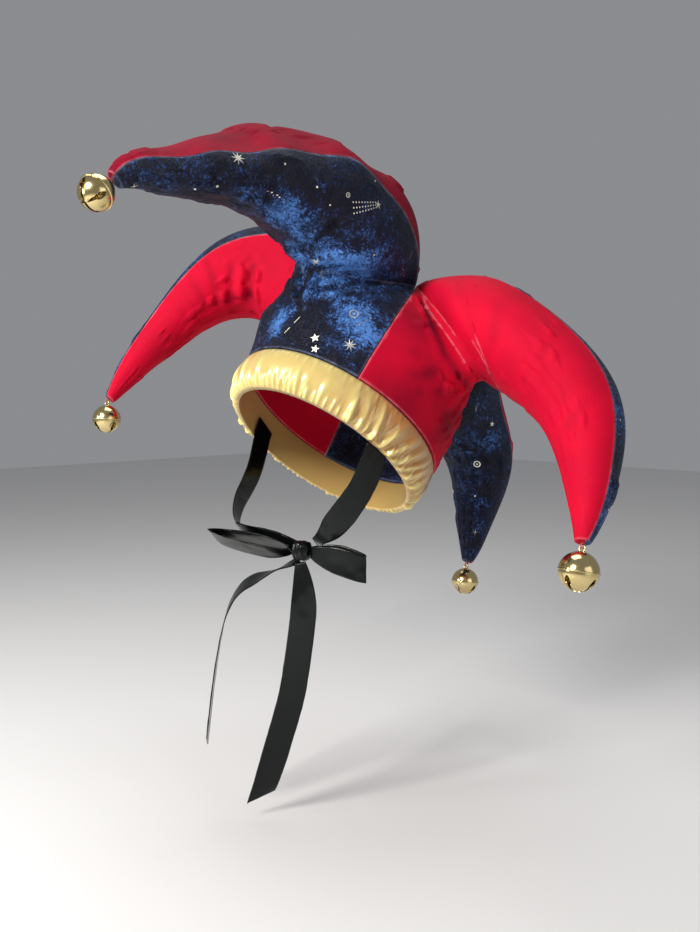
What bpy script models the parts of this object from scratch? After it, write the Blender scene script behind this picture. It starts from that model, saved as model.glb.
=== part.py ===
"""Jester hat with four stuffed horns, a gathered satin band, bells and a tied chin ribbon.

Metres, +Z up, the wearer looks along -Y and has the left side at +X. The origin is the
centre of the head opening. The hat is shown as it sits on a head: tilted back, with its
ribbon tied under the chin and its ends hanging.
"""

import math
from dataclasses import dataclass

import bmesh
import bpy
from mathutils import Matrix, Vector

MM = 0.001

# Fit and cloth
GAP = 0.3 * MM                  # clearance between pieces that touch
CLOTH_WALL = 3.0 * MM           # padded wall between the head hollow and the outside

# Head opening and band
HEAD_HALF_WIDTH = 82.0 * MM     # half of the opening, side to side
HEAD_HALF_LENGTH = 99.0 * MM   # half of the opening, front to back
TILT_BACK = math.radians(38.0)  # the hat's axis leans back by this much
HAT_TURN = math.radians(8.0)    # the horns are set round by this much to the wearer's left
BAND_HEIGHT = 38.0 * MM
BAND_THICKNESS = 5.0 * MM
BAND_FLARE = 9.0 * MM           # the band's top edge is this much wider than its bottom
BAND_GATHERS = 26
GATHER_DEPTH = 1.1 * MM

# Crown and horns
HOLLOW_HEIGHT = 84.0 * MM       # from the band's top edge to the top of the head hollow
CROWN_HEIGHT = 200.0 * MM       # from the band's top edge to the horns' ridges
APEX_DIP = 36.0 * MM            # the middle of the crown lies this far below the ridges
SPLIT_DIP = 76.0 * MM           # and the top panels' filling ends this far below them
HORN_REACH = 160.0 * MM         # from the crown's side to a horn's far edge
HORN_DROP = 272.0 * MM          # from a horn's ridge down to its tip
HORN_WIDTH = 56.0 * MM          # half width of a horn where it leaves the crown
UNDER_ARCH = 0.55               # share of a bend's lift that the under side follows
SEAM_ARCH = 0.75                # and that the seams follow

# Bells
BELL_RADIUS = 15.5 * MM
BELL_WALL = 1.0 * MM
BELL_SLOT = 2.6 * MM
BELL_HOLE_RADIUS = 2.6 * MM
BELL_RIM = 0.7 * MM
LOOP_RADIUS = 2.6 * MM
LOOP_WIRE = 0.7 * MM
THREAD_RADIUS = 0.6 * MM
THREAD_RING = 2.25 * MM         # radius of the ring that a bell's sewing thread makes

# Chin ribbon
RIBBON_WIDTH = 25.0 * MM
RIBBON_THICKNESS = 1.0 * MM
KNOT_SQUEEZE = 0.42             # share of its width that the ribbon keeps at the knot
KNOT_PULL = 16.0 * MM           # and how far from the knot it is gathered
END_SLANT = 8.0 * MM            # a tail's end is cut on a slant
KNOT_SIZE = (10.0 * MM, 8.0 * MM, 9.0 * MM)   # half sizes of the bow's knot

PANEL_ARC = 10      # spaces across a panel from seam to seam
BELL_SIDES = 12     # sides of a bell
CURVE_SIDES = 5     # sides of a thread

# The crown, from the band's top edge to the crotch where two horns part. Shares of the
# crown's radius (out) and of CROWN_HEIGHT (up). Under is the middle of the outer panel,
# seam is its edge, top is the far side of the same section.
CROWN_ROWS = [
    # under out, up, seam out, up, top out, up
    (1.00, 0.00, 0.707, 0.00, -1.00, 0.00),
    (1.05, 0.12, 0.715, 0.20, -0.86, 0.58),
    (1.08, 0.25, 0.65, 0.43, -0.56, 0.94),
    (1.14, 0.33, 0.49, 0.62, -0.29, 0.98),
    (1.23, 0.36, 0.30, 0.75, 0.33, 0.99),
]

# A horn, from the crotch to its tip. Shares of HORN_REACH beyond the crown's radius (out),
# of HORN_DROP below the ridge (down) and of HORN_WIDTH (side).
HORN_ROWS = [
    # under out, down, seam out, side, down, top out, down
    (0.21, 0.47, -0.19, 0.90, 0.160, -0.15, 0.005),
    (0.25, 0.47, 0.16, 1.00, 0.190, 0.13, 0.050),
    (0.39, 0.50, 0.54, 0.84, 0.310, 0.62, 0.213),
    (0.59, 0.59, 0.81, 0.64, 0.470, 0.92, 0.412),
    (0.76, 0.75, 0.94, 0.44, 0.690, 1.02, 0.658),
    (0.92, 0.93, 1.02, 0.23, 0.905, 1.06, 0.893),
    (0.97, 1.00, 1.02, 0.10, 0.995, 1.05, 0.990),
]
CROTCH_ROW = len(CROWN_ROWS) - 1
LAST_ROW = CROTCH_ROW + len(HORN_ROWS)

# The head hollow under each crown row: shares of its radius and of HOLLOW_HEIGHT.
HOLLOW_ROWS = [(1.0, 0.0), (0.95, 0.34), (0.78, 0.66), (0.48, 0.90), (0.03, 1.0)]


@dataclass(frozen=True)
class Horn:
    """One horn: where it points and how its soft end lies."""
    name: str
    side: float      # quarter turns from the front towards the wearer's left
    sway: float      # degrees that the tip swings round from the middle of its sector
    roll: float      # degrees that the seams turn about the horn's own line
    reach: float     # share of HORN_REACH
    drop: float      # share of HORN_DROP
    rise: float      # share of CROWN_HEIGHT that its ridge stands higher
    arch: float      # share of CROWN_HEIGHT that its bend stands higher still
    hang: float      # 0 when its bell stays in line with the tip, 1 when it hangs plumb
    bell: float      # share of BELL_RADIUS
    under: str
    top: str


HORNS = [
    Horn("front", 0, -6.0, 18.0, 1.25, 0.85, 0.10, -0.14, -1.0, 0.95, "blue_velvet", "red_velvet"),
    Horn("left", 1, 6.0, -34.0, 1.05, 0.93, -0.09, 0.00, 0.7, 1.06, "red_velvet", "blue_velvet"),
    Horn("back", 2, -8.0, 0.0, 0.94, 0.77, 0.00, 0.03, 0.8, 0.95, "blue_velvet", "red_velvet"),
    Horn("right", 3, 18.0, 0.0, 0.91, 0.96, -0.03, 0.38, 0.9, 0.95, "red_velvet", "blue_velvet"),
]


@dataclass(frozen=True)
class Fold:
    """A crease pressed into one panel: where it runs and how deep it is."""
    panel: str
    row: float       # place along the panel, in rows
    lean: float      # rows that the crease moves from the middle to a seam
    half: float      # half width, in rows
    depth: float


FOLDS = [
    Fold("front_under", 5.6, -0.3, 0.40, 2.5 * MM),
    Fold("front_under", 6.7, 0.3, 0.40, 2.5 * MM),
    Fold("left_under", 5.6, -0.3, 0.40, 2.5 * MM),
    Fold("left_under", 6.8, 0.4, 0.40, 2.5 * MM),
    Fold("back_under", 6.2, -0.3, 0.40, 2.5 * MM),
    Fold("right_under", 5.7, -0.3, 0.35, 3.0 * MM),
    Fold("right_under", 6.8, 0.3, 0.40, 2.5 * MM),
    Fold("front_top", 6.6, 0.2, 0.40, 2.0 * MM),
    Fold("right_top", 6.0, 0.2, 0.40, 2.0 * MM),
]

MATERIALS = {
    # colour, roughness, metallic
    "blue_velvet": ((0.030, 0.055, 0.170, 1.0), 0.75, 0.0),
    "red_velvet": ((0.600, 0.010, 0.035, 1.0), 0.85, 0.0),
    "gold_satin": ((0.720, 0.500, 0.200, 1.0), 0.35, 0.0),
    "black_satin": ((0.012, 0.014, 0.014, 1.0), 0.30, 0.0),
    "brass": ((0.780, 0.620, 0.300, 1.0), 0.22, 1.0),
    "thread": ((0.550, 0.120, 0.150, 1.0), 0.80, 0.0),
}

CROWN_RADIUS = math.sqrt(HEAD_HALF_WIDTH * HEAD_HALF_LENGTH) + BAND_THICKNESS + BAND_FLARE
HOLLOW_RADIUS = CROWN_RADIUS - 2.0 * CLOTH_WALL
OVAL_WIDTH = (HEAD_HALF_WIDTH + BAND_THICKNESS + BAND_FLARE) / CROWN_RADIUS
OVAL_LENGTH = (HEAD_HALF_LENGTH + BAND_THICKNESS + BAND_FLARE) / CROWN_RADIUS


def clear_scene():
    """Remove whatever the file holds."""
    for obj in list(bpy.data.objects):
        bpy.data.objects.remove(obj, do_unlink=True)


def material(slot):
    """The material of a named finish, made once."""
    found = bpy.data.materials.get(slot)
    if found:
        return found
    colour, roughness, metallic = MATERIALS[slot]
    made = bpy.data.materials.new(slot)
    made.use_nodes = True
    shader = made.node_tree.nodes["Principled BSDF"]
    shader.inputs["Base Color"].default_value = colour
    shader.inputs["Roughness"].default_value = roughness
    shader.inputs["Metallic"].default_value = metallic
    made.diffuse_color = colour
    return made


def mesh_object(name, bm, slot):
    """Turn a bmesh into a named, smooth shaded object."""
    bmesh.ops.recalc_face_normals(bm, faces=bm.faces)
    mesh = bpy.data.meshes.new(name)
    bm.to_mesh(mesh)
    bm.free()
    mesh.shade_smooth()
    mesh.set_sharp_from_angle(angle=math.radians(50.0))
    obj = bpy.data.objects.new(name, mesh)
    obj.data.materials.append(material(slot))
    bpy.context.collection.objects.link(obj)
    return obj


def tilted(point):
    """From the hat's own upright frame to the frame of the head it sits on."""
    return Matrix.Rotation(-TILT_BACK, 3, "X") @ Vector(point)


def smooth_rows(rows, place):
    """Values of a table between its rows, on a smooth curve through them."""
    last = len(rows) - 1
    low = min(int(place), last - 1)
    t = place - low
    before, start, end, after = (rows[max(0, min(last, low + k))] for k in (-1, 0, 1, 2))
    values = []
    for p0, p1, p2, p3 in zip(before, start, end, after):
        slope_in = (p2 - p0) / 2.0
        slope_out = (p3 - p1) / 2.0
        rise = p2 - p1
        values.append(p1 + slope_in * t + (3 * rise - 2 * slope_in - slope_out) * t ** 2
                      + (slope_in + slope_out - 2 * rise) * t ** 3)
    return values


def ease(value):
    """A smooth step from 0 to 1."""
    value = max(0.0, min(1.0, value))
    return value * value * (3.0 - 2.0 * value)


def bridge_grid(bm, first, second):
    """Fill the strip between two rows of vertices."""
    for k in range(len(first) - 1):
        bm.faces.new((first[k], first[k + 1], second[k + 1], second[k]))


def loft_two_skins(bm, outer, inner):
    """Close a body between an outer and an inner grid of points with the same counts."""
    skins = []
    for grid in (outer, inner):
        skins.append([[bm.verts.new(point) for point in row] for row in grid])
    for rows in skins:
        for first, second in zip(rows, rows[1:]):
            bridge_grid(bm, first, second)
    out_rows, in_rows = skins
    bridge_grid(bm, out_rows[0], in_rows[0])
    bridge_grid(bm, out_rows[-1], in_rows[-1])
    for side in (0, -1):
        bridge_grid(bm, [row[side] for row in out_rows], [row[side] for row in in_rows])


def section_points(horn):
    """The table rows of one horn in metres: under, seam and top, each (out, side, up)."""
    ridge = BAND_HEIGHT + CROWN_HEIGHT
    rows = []
    for number, row in enumerate(CROWN_ROWS):
        under_out, under_up, seam_out, seam_up, top_out, top_up = row
        top_up += horn.rise * (number / CROTCH_ROW) ** 2
        rows.append((under_out * CROWN_RADIUS, BAND_HEIGHT + under_up * CROWN_HEIGHT,
                     seam_out * CROWN_RADIUS, seam_out * CROWN_RADIUS,
                     BAND_HEIGHT + seam_up * CROWN_HEIGHT,
                     top_out * CROWN_RADIUS, BAND_HEIGHT + top_up * CROWN_HEIGHT))
    for number, row in enumerate(HORN_ROWS):
        under_out, under_down, seam_out, side, seam_down, top_out, top_down = row
        along = (number + 1.0) / len(HORN_ROWS)
        reach = HORN_REACH * (1.0 + (horn.reach - 1.0) * ease(1.4 * along))
        drop = HORN_DROP * (1.0 + (horn.drop - 1.0) * ease(1.4 * along))
        bend = horn.arch * math.sin(math.pi * along) ** 2
        root = horn.rise * ease(2.0 * along)
        under = ridge + CROWN_HEIGHT * (root + UNDER_ARCH * bend)
        seam = ridge + CROWN_HEIGHT * (root + SEAM_ARCH * bend)
        top = ridge + CROWN_HEIGHT * (horn.rise + bend)
        rows.append((CROWN_RADIUS + under_out * reach, under - under_down * drop,
                     CROWN_RADIUS + seam_out * reach, side * HORN_WIDTH, seam - seam_down * drop,
                     CROWN_RADIUS + top_out * reach, top - top_down * drop))
    return rows


@dataclass
class Section:
    """One section of a horn: an ellipse whose flanks may be set back along the horn."""
    centre: Vector
    under: Vector        # from the centre to the middle of the under side
    side: float          # half width
    seam: float          # angle from the under side to a seam
    set_back: Vector     # how far the seams lie behind the section's plane
    roll: float

    def point(self, angle):
        """A point on the section, at an angle from its under side."""
        turned = angle + self.roll
        around = math.cos(turned)
        edge = math.cos(self.seam)
        back = (1.0 - around) / (1.0 - edge) if around > edge else (1.0 + around) / (1.0 + edge)
        flat = self.centre + self.under * around + self.set_back * back
        return Vector((flat.x, self.side * math.sin(turned), flat.z))


def section(horn, rows, place):
    """The section of a horn at a place along its rows."""
    u_out, u_up, s_out, s_side, s_up, t_out, t_up = smooth_rows(rows, place)
    if place <= CROTCH_ROW:
        s_side = s_out - GAP
    under = Vector((u_out, 0.0, u_up))
    top = Vector((t_out, 0.0, t_up))
    seam = Vector((s_out, 0.0, s_up))
    centre = (under + top) / 2.0
    arm = under - centre
    onward = Vector((-arm.z, 0.0, arm.x)).normalized()
    towards = (seam - centre).dot(arm) / arm.length_squared
    angle = math.acos(max(-0.97, min(0.97, towards)))
    set_back = onward * (seam - centre).dot(onward)
    beyond = (place - CROTCH_ROW) / (LAST_ROW - CROTCH_ROW)
    roll = math.radians(horn.roll) * ease(2.2 * beyond)
    return Section(centre, arm, s_side / math.sin(angle), angle, set_back, roll)


def fold_depth(panel, place, across):
    """How far a panel is pressed in by its creases."""
    depth = 0.0
    for fold in FOLDS:
        if fold.panel == panel:
            off = (place - fold.row - fold.lean * abs(across)) / fold.half
            depth += fold.depth * math.exp(-off * off) * (1.0 - across ** 4)
    return depth


def arc_across(cut, panel, place, start, end):
    """Points across one panel from seam to seam, puffed and pressed in by its folds."""
    points = []
    for number in range(PANEL_ARC + 1):
        across = 2.0 * number / PANEL_ARC - 1.0
        angle = start + (end - start) * number / PANEL_ARC
        point = cut.point(angle)
        if place < CROTCH_ROW + 1:
            beside = max(point.x - GAP, GAP)
            point.y = max(-beside, min(beside, point.y))
        inwards = cut.centre - point
        press = min(fold_depth(panel, place, across), 0.25 * inwards.length)
        points.append(point + inwards.normalized() * press)
    return points


def valley_point(across, seam, middle_up):
    """A point on the line from one crotch over the middle of the crown to the other."""
    share = abs(across)
    out = GAP * 2.0 + (seam.x - GAP * 2.0) * share
    side = math.copysign(max(out - GAP, GAP * 0.5), across) if across else 0.0
    return Vector((out, side, middle_up + (seam.z - middle_up) * share ** 1.5))


def chord_point(cut, across):
    """A point on the flat face between the under panel's filling and the top panel's."""
    right = cut.point(-cut.seam)
    left = cut.point(cut.seam)
    share = 0.5 + 0.48 * across
    return right.lerp(left, share)


def edge_first(share, across):
    """A share that is reached in the middle of a row, and is already 1 at its edges."""
    return 1.0 - (1.0 - share) * (1.0 - across * across)


def split_point(cut, crotch, place, across):
    """The face where the two panels' fillings meet, from the crown's middle to the tip."""
    middle = BAND_HEIGHT + CROWN_HEIGHT - SPLIT_DIP
    valley = valley_point(0.96 * across, crotch, middle)
    share = ease(place - CROTCH_ROW - 0.1)
    return valley.lerp(chord_point(cut, across), edge_first(share, across))


def hollow_point(place, across):
    """A point on the head hollow's wall, at the height that goes with a crown row."""
    radius, rise = smooth_rows(HOLLOW_ROWS, place)
    half = math.pi / 4.0 - 0.5 * GAP / (HOLLOW_RADIUS * max(radius, 0.03))
    angle = half * across
    around = HOLLOW_RADIUS * max(radius, 0.03)
    up = BAND_HEIGHT + GAP + rise * HOLLOW_HEIGHT
    return Vector((around * math.cos(angle), around * math.sin(angle), up))


def placed(horn, place, point):
    """Turn a horn's point into its sector, give the crown its oval, and tilt the hat."""
    beyond = (place - CROTCH_ROW) / (LAST_ROW - CROTCH_ROW)
    turn = HAT_TURN + horn.side * math.pi / 2.0 + math.radians(horn.sway) * ease(1.5 * beyond)
    x = point.x * math.sin(turn) + point.y * math.cos(turn)
    y = -point.x * math.cos(turn) + point.y * math.sin(turn)
    oval = 1.0 - ease(place / CROTCH_ROW)
    x *= 1.0 + (OVAL_WIDTH - 1.0) * oval
    y *= 1.0 + (OVAL_LENGTH - 1.0) * oval
    return tilted((x, y, point.z))


def panel_places(start):
    """Places along a panel where it gets a row of points."""
    crown = [0.0, 0.6, 1.2, 1.9, 2.6, 3.3]
    horn = [CROTCH_ROW + step for step in (0.1, 0.35, 0.65, 1.0, 1.4, 1.9)]
    step = (LAST_ROW - horn[-1]) / 8.0
    horn += [horn[-1] + step * (number + 1) for number in range(8)]
    return [place for place in crown + [float(CROTCH_ROW)] + horn if place >= start]


def under_panel(horn):
    """The outer panel of one sector with its filling: crown wall below, horn's under side."""
    rows = section_points(horn)
    crotch = section(horn, rows, CROTCH_ROW).point(
        section(horn, rows, CROTCH_ROW).seam)
    name = horn.name + "_under"
    outer, inner = [], []
    for place in panel_places(0.0):
        cut = section(horn, rows, place)
        arc = arc_across(cut, name, place, -cut.seam, cut.seam)
        clear = Vector((0.0, 0.0, GAP * (1.0 - ease(place))))
        arc = [point + clear for point in arc]
        if place <= CROTCH_ROW:
            back = [hollow_point(place, 2.0 * k / PANEL_ARC - 1.0)
                    for k in range(PANEL_ARC + 1)]
        else:
            shift = cut.under.normalized() * GAP * 0.6
            back = [split_point(cut, crotch, place, 2.0 * k / PANEL_ARC - 1.0) + shift
                    for k in range(PANEL_ARC + 1)]
        outer.append([placed(horn, place, p) for p in arc])
        inner.append([placed(horn, place, p) for p in back])
    bm = bmesh.new()
    loft_two_skins(bm, outer, inner)
    return mesh_object(name, bm, horn.under)


def top_panel(horn):
    """The inner panel of one horn with its filling, from the crown's middle to the tip."""
    rows = section_points(horn)
    crotch_cut = section(horn, rows, CROTCH_ROW)
    crotch = crotch_cut.point(crotch_cut.seam)
    name = horn.name + "_top"
    apex = BAND_HEIGHT + CROWN_HEIGHT - APEX_DIP
    outer, inner = [], []
    for place in panel_places(CROTCH_ROW + 0.1):
        cut = section(horn, rows, place)
        slip = 1.6 * GAP / max(cut.side, 0.004)
        arc = arc_across(cut, name, place, -cut.seam - slip, cut.seam + slip - 2.0 * math.pi)
        rise = ease((place - CROTCH_ROW - 0.1) / 0.9) ** 0.7
        top, bottom = [], []
        for number in range(PANEL_ARC + 1):
            across = 2.0 * number / PANEL_ARC - 1.0
            start = valley_point(across, crotch, apex) + Vector((0.0, 0.0, 1.2 * GAP))
            top.append(start.lerp(arc[number], edge_first(rise, across)))
            shift = cut.under.normalized() * GAP * -0.6
            bottom.append(split_point(cut, crotch, place, across) + shift)
        outer.append([placed(horn, place, p) for p in top])
        inner.append([placed(horn, place, p) for p in bottom])
    bm = bmesh.new()
    loft_two_skins(bm, outer, inner)
    return mesh_object(name, bm, horn.top)


def band():
    """The satin band: a padded ring, gathered along both edges."""
    per_gather = 3
    columns = BAND_GATHERS * per_gather
    # share of the height, share of the thickness outwards
    profile = [(0.0, 0.0), (0.0, 0.9), (0.3, 1.5), (0.7, 1.4), (1.0, 0.75), (1.0, 0.0)]
    bm = bmesh.new()
    rings = []
    for column in range(columns):
        angle = 2.0 * math.pi * column / columns
        wave = GATHER_DEPTH * math.cos(2.0 * math.pi * column / per_gather)
        ring = []
        for height, thick in profile:
            pucker = wave * abs(2.0 * height - 1.0) * ease(2.0 * thick - 0.4)
            out = BAND_FLARE * height + BAND_THICKNESS * thick + pucker
            x = (HEAD_HALF_WIDTH + out) * math.sin(angle)
            y = -(HEAD_HALF_LENGTH + out) * math.cos(angle)
            ring.append(bm.verts.new(tilted((x, y, height * BAND_HEIGHT - GAP * height))))
        rings.append(ring)
    for number, ring in enumerate(rings):
        following = rings[(number + 1) % columns]
        for k in range(len(profile)):
            after = (k + 1) % len(profile)
            bm.faces.new((ring[k], ring[after], following[after], following[k]))
    return mesh_object("band", bm, "gold_satin")


def horn_tip(horn):
    """Where a horn ends and which way it points there."""
    rows = section_points(horn)
    end = section(horn, rows, float(LAST_ROW))
    before = section(horn, rows, LAST_ROW - 0.6)
    tip = placed(horn, LAST_ROW, (end.point(end.seam) + end.point(-end.seam)) / 2.0)
    back = placed(horn, LAST_ROW - 0.6, (before.point(before.seam) + before.point(-before.seam)) / 2.0)
    return tip, (tip - back).normalized()


def bell_hang(horn):
    """Where a bell's thread ring stands, the way the bell hangs and the ring's axis."""
    tip, along = horn_tip(horn)
    plumb = Vector((0.01, 0.0, -1.0)).normalized()
    axis = along.cross(plumb).normalized()
    centre = tip + along * (THREAD_RING + THREAD_RADIUS + GAP)
    return centre, along.lerp(plumb, horn.hang).normalized(), axis


def frame_matrix(origin, x_axis, z_axis):
    """A placement from an origin and two square axes."""
    turn = Matrix((x_axis, z_axis.cross(x_axis), z_axis)).transposed().to_4x4()
    return Matrix.Translation(origin) @ turn


def turned_profile(name, profile, sides, slot):
    """A closed body of revolution about Z from a closed outline of (radius, height)."""
    bm = bmesh.new()
    rings = []
    for radius, height in profile:
        if radius < 1e-7:
            rings.append([bm.verts.new((0.0, 0.0, height))])
            continue
        rings.append([bm.verts.new((radius * math.cos(2 * math.pi * k / sides),
                                    radius * math.sin(2 * math.pi * k / sides), height))
                      for k in range(sides)])
    for first, second in zip(rings, rings[1:]):
        for k in range(sides):
            after = (k + 1) % sides
            if len(first) == 1 and len(second) > 1:
                bm.faces.new((first[0], second[k], second[after]))
            elif len(second) == 1 and len(first) > 1:
                bm.faces.new((first[k], first[after], second[0]))
            elif len(first) > 1:
                bm.faces.new((first[k], first[after], second[after], second[k]))
    return mesh_object(name, bm, slot)


def cut_with(obj, cutter, operation="DIFFERENCE"):
    """Apply a Boolean of one object to another and remove the second."""
    modifier = obj.modifiers.new("cut", "BOOLEAN")
    modifier.operation = operation
    modifier.object = cutter
    modifier.solver = "EXACT"
    depsgraph = bpy.context.evaluated_depsgraph_get()
    result = bpy.data.meshes.new_from_object(obj.evaluated_get(depsgraph))
    obj.modifiers.clear()
    old = obj.data
    obj.data = result
    bpy.data.meshes.remove(old)
    bpy.data.objects.remove(cutter, do_unlink=True)
    return obj


def box_object(name, half, centre):
    """A block from its half sizes and centre, as a cutter."""
    bm = bmesh.new()
    bmesh.ops.create_cube(bm, size=2.0, matrix=Matrix.Translation(centre) @ Matrix.Diagonal((*half, 1.0)))
    obj = mesh_object(name, bm, "brass")
    obj.display_type = "WIRE"
    obj.hide_render = True
    return obj


def bell(horn):
    """A brass jingle bell: a thin round shell with a rim, a crossed slot and a soldered loop."""
    radius = BELL_RADIUS * horn.bell
    steps = 4
    outer, inner = [], []
    for k in range(steps + 1):
        angle = math.pi * k / (2 * steps)
        outer.append((radius * math.sin(angle), radius * math.cos(angle)))
        inner.append(((radius - BELL_WALL) * math.sin(angle), (radius - BELL_WALL) * math.cos(angle)))
    rim = [(radius + BELL_RIM, BELL_RIM), (radius + BELL_RIM, -BELL_RIM)]
    lower = [(r, -z) for r, z in reversed(outer[:-1])]
    shell = turned_profile("bell_" + horn.name, outer[:-1] + rim + lower, BELL_SIDES, "brass")
    hollow = turned_profile("hollow", inner + [(r, -z) for r, z in reversed(inner[:-1])], BELL_SIDES, "brass")
    cut_with(shell, hollow)
    arm = radius * 0.80
    for half in ((arm, BELL_SLOT / 2, radius), (BELL_SLOT / 2, arm, radius)):
        cut_with(shell, box_object("slot", half, (0.0, 0.0, -radius * 1.15)))
    for k in range(4):
        angle = math.pi * k / 2
        top = -0.11 * radius
        hole = turned_profile("hole", [(0.0, -radius), (BELL_HOLE_RADIUS, -radius),
                                       (BELL_HOLE_RADIUS, top), (0.0, top)], 7, "brass")
        hole.data.transform(Matrix.Translation((arm * math.cos(angle), arm * math.sin(angle), 0.0)))
        cut_with(shell, hole)
    loop = ring_object("loop", LOOP_RADIUS, LOOP_WIRE, 9, CURVE_SIDES)
    loop.data.transform(Matrix.Translation((0.0, 0.0, radius + LOOP_RADIUS - LOOP_WIRE))
                        @ Matrix.Rotation(math.pi / 2, 4, "X"))
    cut_with(shell, loop, "UNION")
    centre, hang, axis = bell_hang(horn)
    reach = radius + 2.0 * LOOP_RADIUS - LOOP_WIRE - GAP
    shell.data.transform(frame_matrix(centre + hang * reach, axis, -hang))
    return shell


def ring_object(name, radius, wire, around, sides):
    """A wire ring in the XY plane."""
    bm = bmesh.new()
    rings = []
    for k in range(around):
        turn = 2 * math.pi * k / around
        rings.append([bm.verts.new(((radius + wire * math.cos(2 * math.pi * j / sides)) * math.cos(turn),
                                    (radius + wire * math.cos(2 * math.pi * j / sides)) * math.sin(turn),
                                    wire * math.sin(2 * math.pi * j / sides))) for j in range(sides)])
    for k in range(around):
        following = rings[(k + 1) % around]
        for j in range(sides):
            after = (j + 1) % sides
            bm.faces.new((rings[k][j], rings[k][after], following[after], following[j]))
    return mesh_object(name, bm, "brass")


def thread(horn):
    """The sewn thread that holds a bell: a small ring through the bell's loop, at the tip."""
    ring = ring_object("thread_" + horn.name, THREAD_RING, THREAD_RADIUS, 9, CURVE_SIDES)
    ring.data.materials.clear()
    ring.data.materials.append(material("thread"))
    centre, hang, axis = bell_hang(horn)
    ring.data.transform(frame_matrix(centre, hang, axis))
    return ring


# The chin ribbon's stretches: points on its middle line in millimetres from the origin, and
# how far its flat side has turned from facing forwards towards the wearer's left. A strap's
# table starts below the band, where it comes out, and a tail's below the knot.
STRAPS = {
    "strap_left": (82.0, [
        # x, y, z, facing
        (71.0, -15.0, -21.0, 68.0), (58.5, -21.0, -43.0, 54.0), (43.0, -24.0, -61.0, 38.0),
        (28.0, -24.0, -73.5, 22.0), (20.2, -29.0, -81.5, 10.0)]),
    "strap_right": (-82.0, [
        (-75.5, -23.0, -24.0, -76.0), (-77.0, -42.0, -52.0, -64.0), (-68.0, -50.0, -74.0, -48.0),
        (-42.0, -40.0, -85.0, -30.0), (0.6, -33.5, -87.0, -14.0)]),
}
TAILS = {
    "tail_front": [
        (11.6, -40.0, -99.3, 20.0), (18.0, -41.0, -134.0, 30.0), (13.0, -42.0, -177.0, 34.0),
        (3.0, -43.0, -227.0, 38.0), (-12.0, -44.0, -269.0, 44.0), (-27.0, -45.0, -309.0, 56.0),
        (-39.0, -46.0, -338.0, 72.0)],
    "tail_back": [
        (4.2, -33.5, -98.6, -40.0), (-6.0, -41.0, -105.0, -44.0), (-19.0, -57.0, -113.0, -44.0),
        (-36.0, -70.0, -124.0, -44.0), (-48.0, -77.0, -144.0, -44.0), (-57.0, -80.0, -173.0, -44.0),
        (-64.0, -84.0, -220.0, -44.0), (-70.0, -88.0, -280.0, -44.0)],
}
BOW_LOOPS = {
    # length, rise of the far end, half opening in millimetres, turn and roll in degrees
    "bow_left": (66.0, -12.0, 7.0, 20.0, 0.0),
    "bow_right": (-96.0, 8.0, 6.0, 20.0, 52.0),
}
KNOT_CENTRE = Vector((11.0, -37.0, -89.0)) * MM
BOW_FORWARD = 2.8 * MM          # the loops leave the knot this far in front of its middle


def ribbon(name, path, normals, gathered, cut_end=False):
    """A flat ribbon along a path, a flat side facing each normal, narrower near the knot."""
    steps = [(b - a).length for a, b in zip(path, path[1:])]
    bm = bmesh.new()
    rings = []
    for number, point in enumerate(path):
        ahead = path[min(number + 1, len(path) - 1)] - path[max(number - 1, 0)]
        normal = normals[number] - ahead * (normals[number].dot(ahead) / ahead.length_squared)
        normal.normalize()
        near = min(sum(steps[:number]) if 0 in gathered else 1.0,
                   sum(steps[number:]) if -1 in gathered else 1.0)
        width = RIBBON_WIDTH * (1.0 - (1.0 - KNOT_SQUEEZE) * math.exp(-(near / KNOT_PULL) ** 2))
        across = ahead.cross(normal).normalized() * width / 2
        thick = normal * RIBBON_THICKNESS / 2
        slant = ahead.normalized() * END_SLANT if cut_end and number == len(path) - 1 else Vector()
        rings.append([bm.verts.new(point + a * (across + slant) + b * thick)
                      for a, b in ((-1, -1), (0, -1), (1, -1), (1, 1), (0, 1), (-1, 1))])
    for first, second in zip(rings, rings[1:]):
        for k in range(6):
            after = (k + 1) % 6
            bm.faces.new((first[k], first[after], second[after], second[k]))
    bm.faces.new(rings[0])
    bm.faces.new(rings[-1])
    return mesh_object(name, bm, "black_satin")


def ribbon_stretch(name, rows, gathered, cut_end=False):
    """A strap or a tail from its short table."""
    count = 2 * (len(rows) - 1)
    path, normals = [], []
    for number in range(count + 1):
        x, y, z, facing = smooth_rows(rows, number * (len(rows) - 1) / count)
        turn = math.radians(facing)
        path.append(Vector((x, y, z)) * MM)
        normals.append(Vector((math.sin(turn), -math.cos(turn), 0.0)))
    return ribbon(name, path, normals, gathered, cut_end)


def strap_seat(angle, height):
    """Where a strap lies inside the band, clear of its wall, at a share of its height."""
    sagitta = RIBBON_WIDTH ** 2 / (8.0 * HEAD_HALF_WIDTH)
    out = BAND_FLARE * height - RIBBON_THICKNESS / 2.0 - 2.0 * GAP - sagitta
    turn = math.radians(angle)
    x = (HEAD_HALF_WIDTH + out) * math.sin(turn)
    y = -(HEAD_HALF_LENGTH + out) * math.cos(turn)
    return tilted((x, y, height * BAND_HEIGHT)) / MM


def strap(name, angle, rows):
    """A chin strap, sewn inside the band at an angle round it and tied into the knot."""
    sewn = [(*strap_seat(angle, height), angle) for height in (0.5, 0.1)]
    return ribbon_stretch(name, sewn + rows, (-1,))


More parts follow.
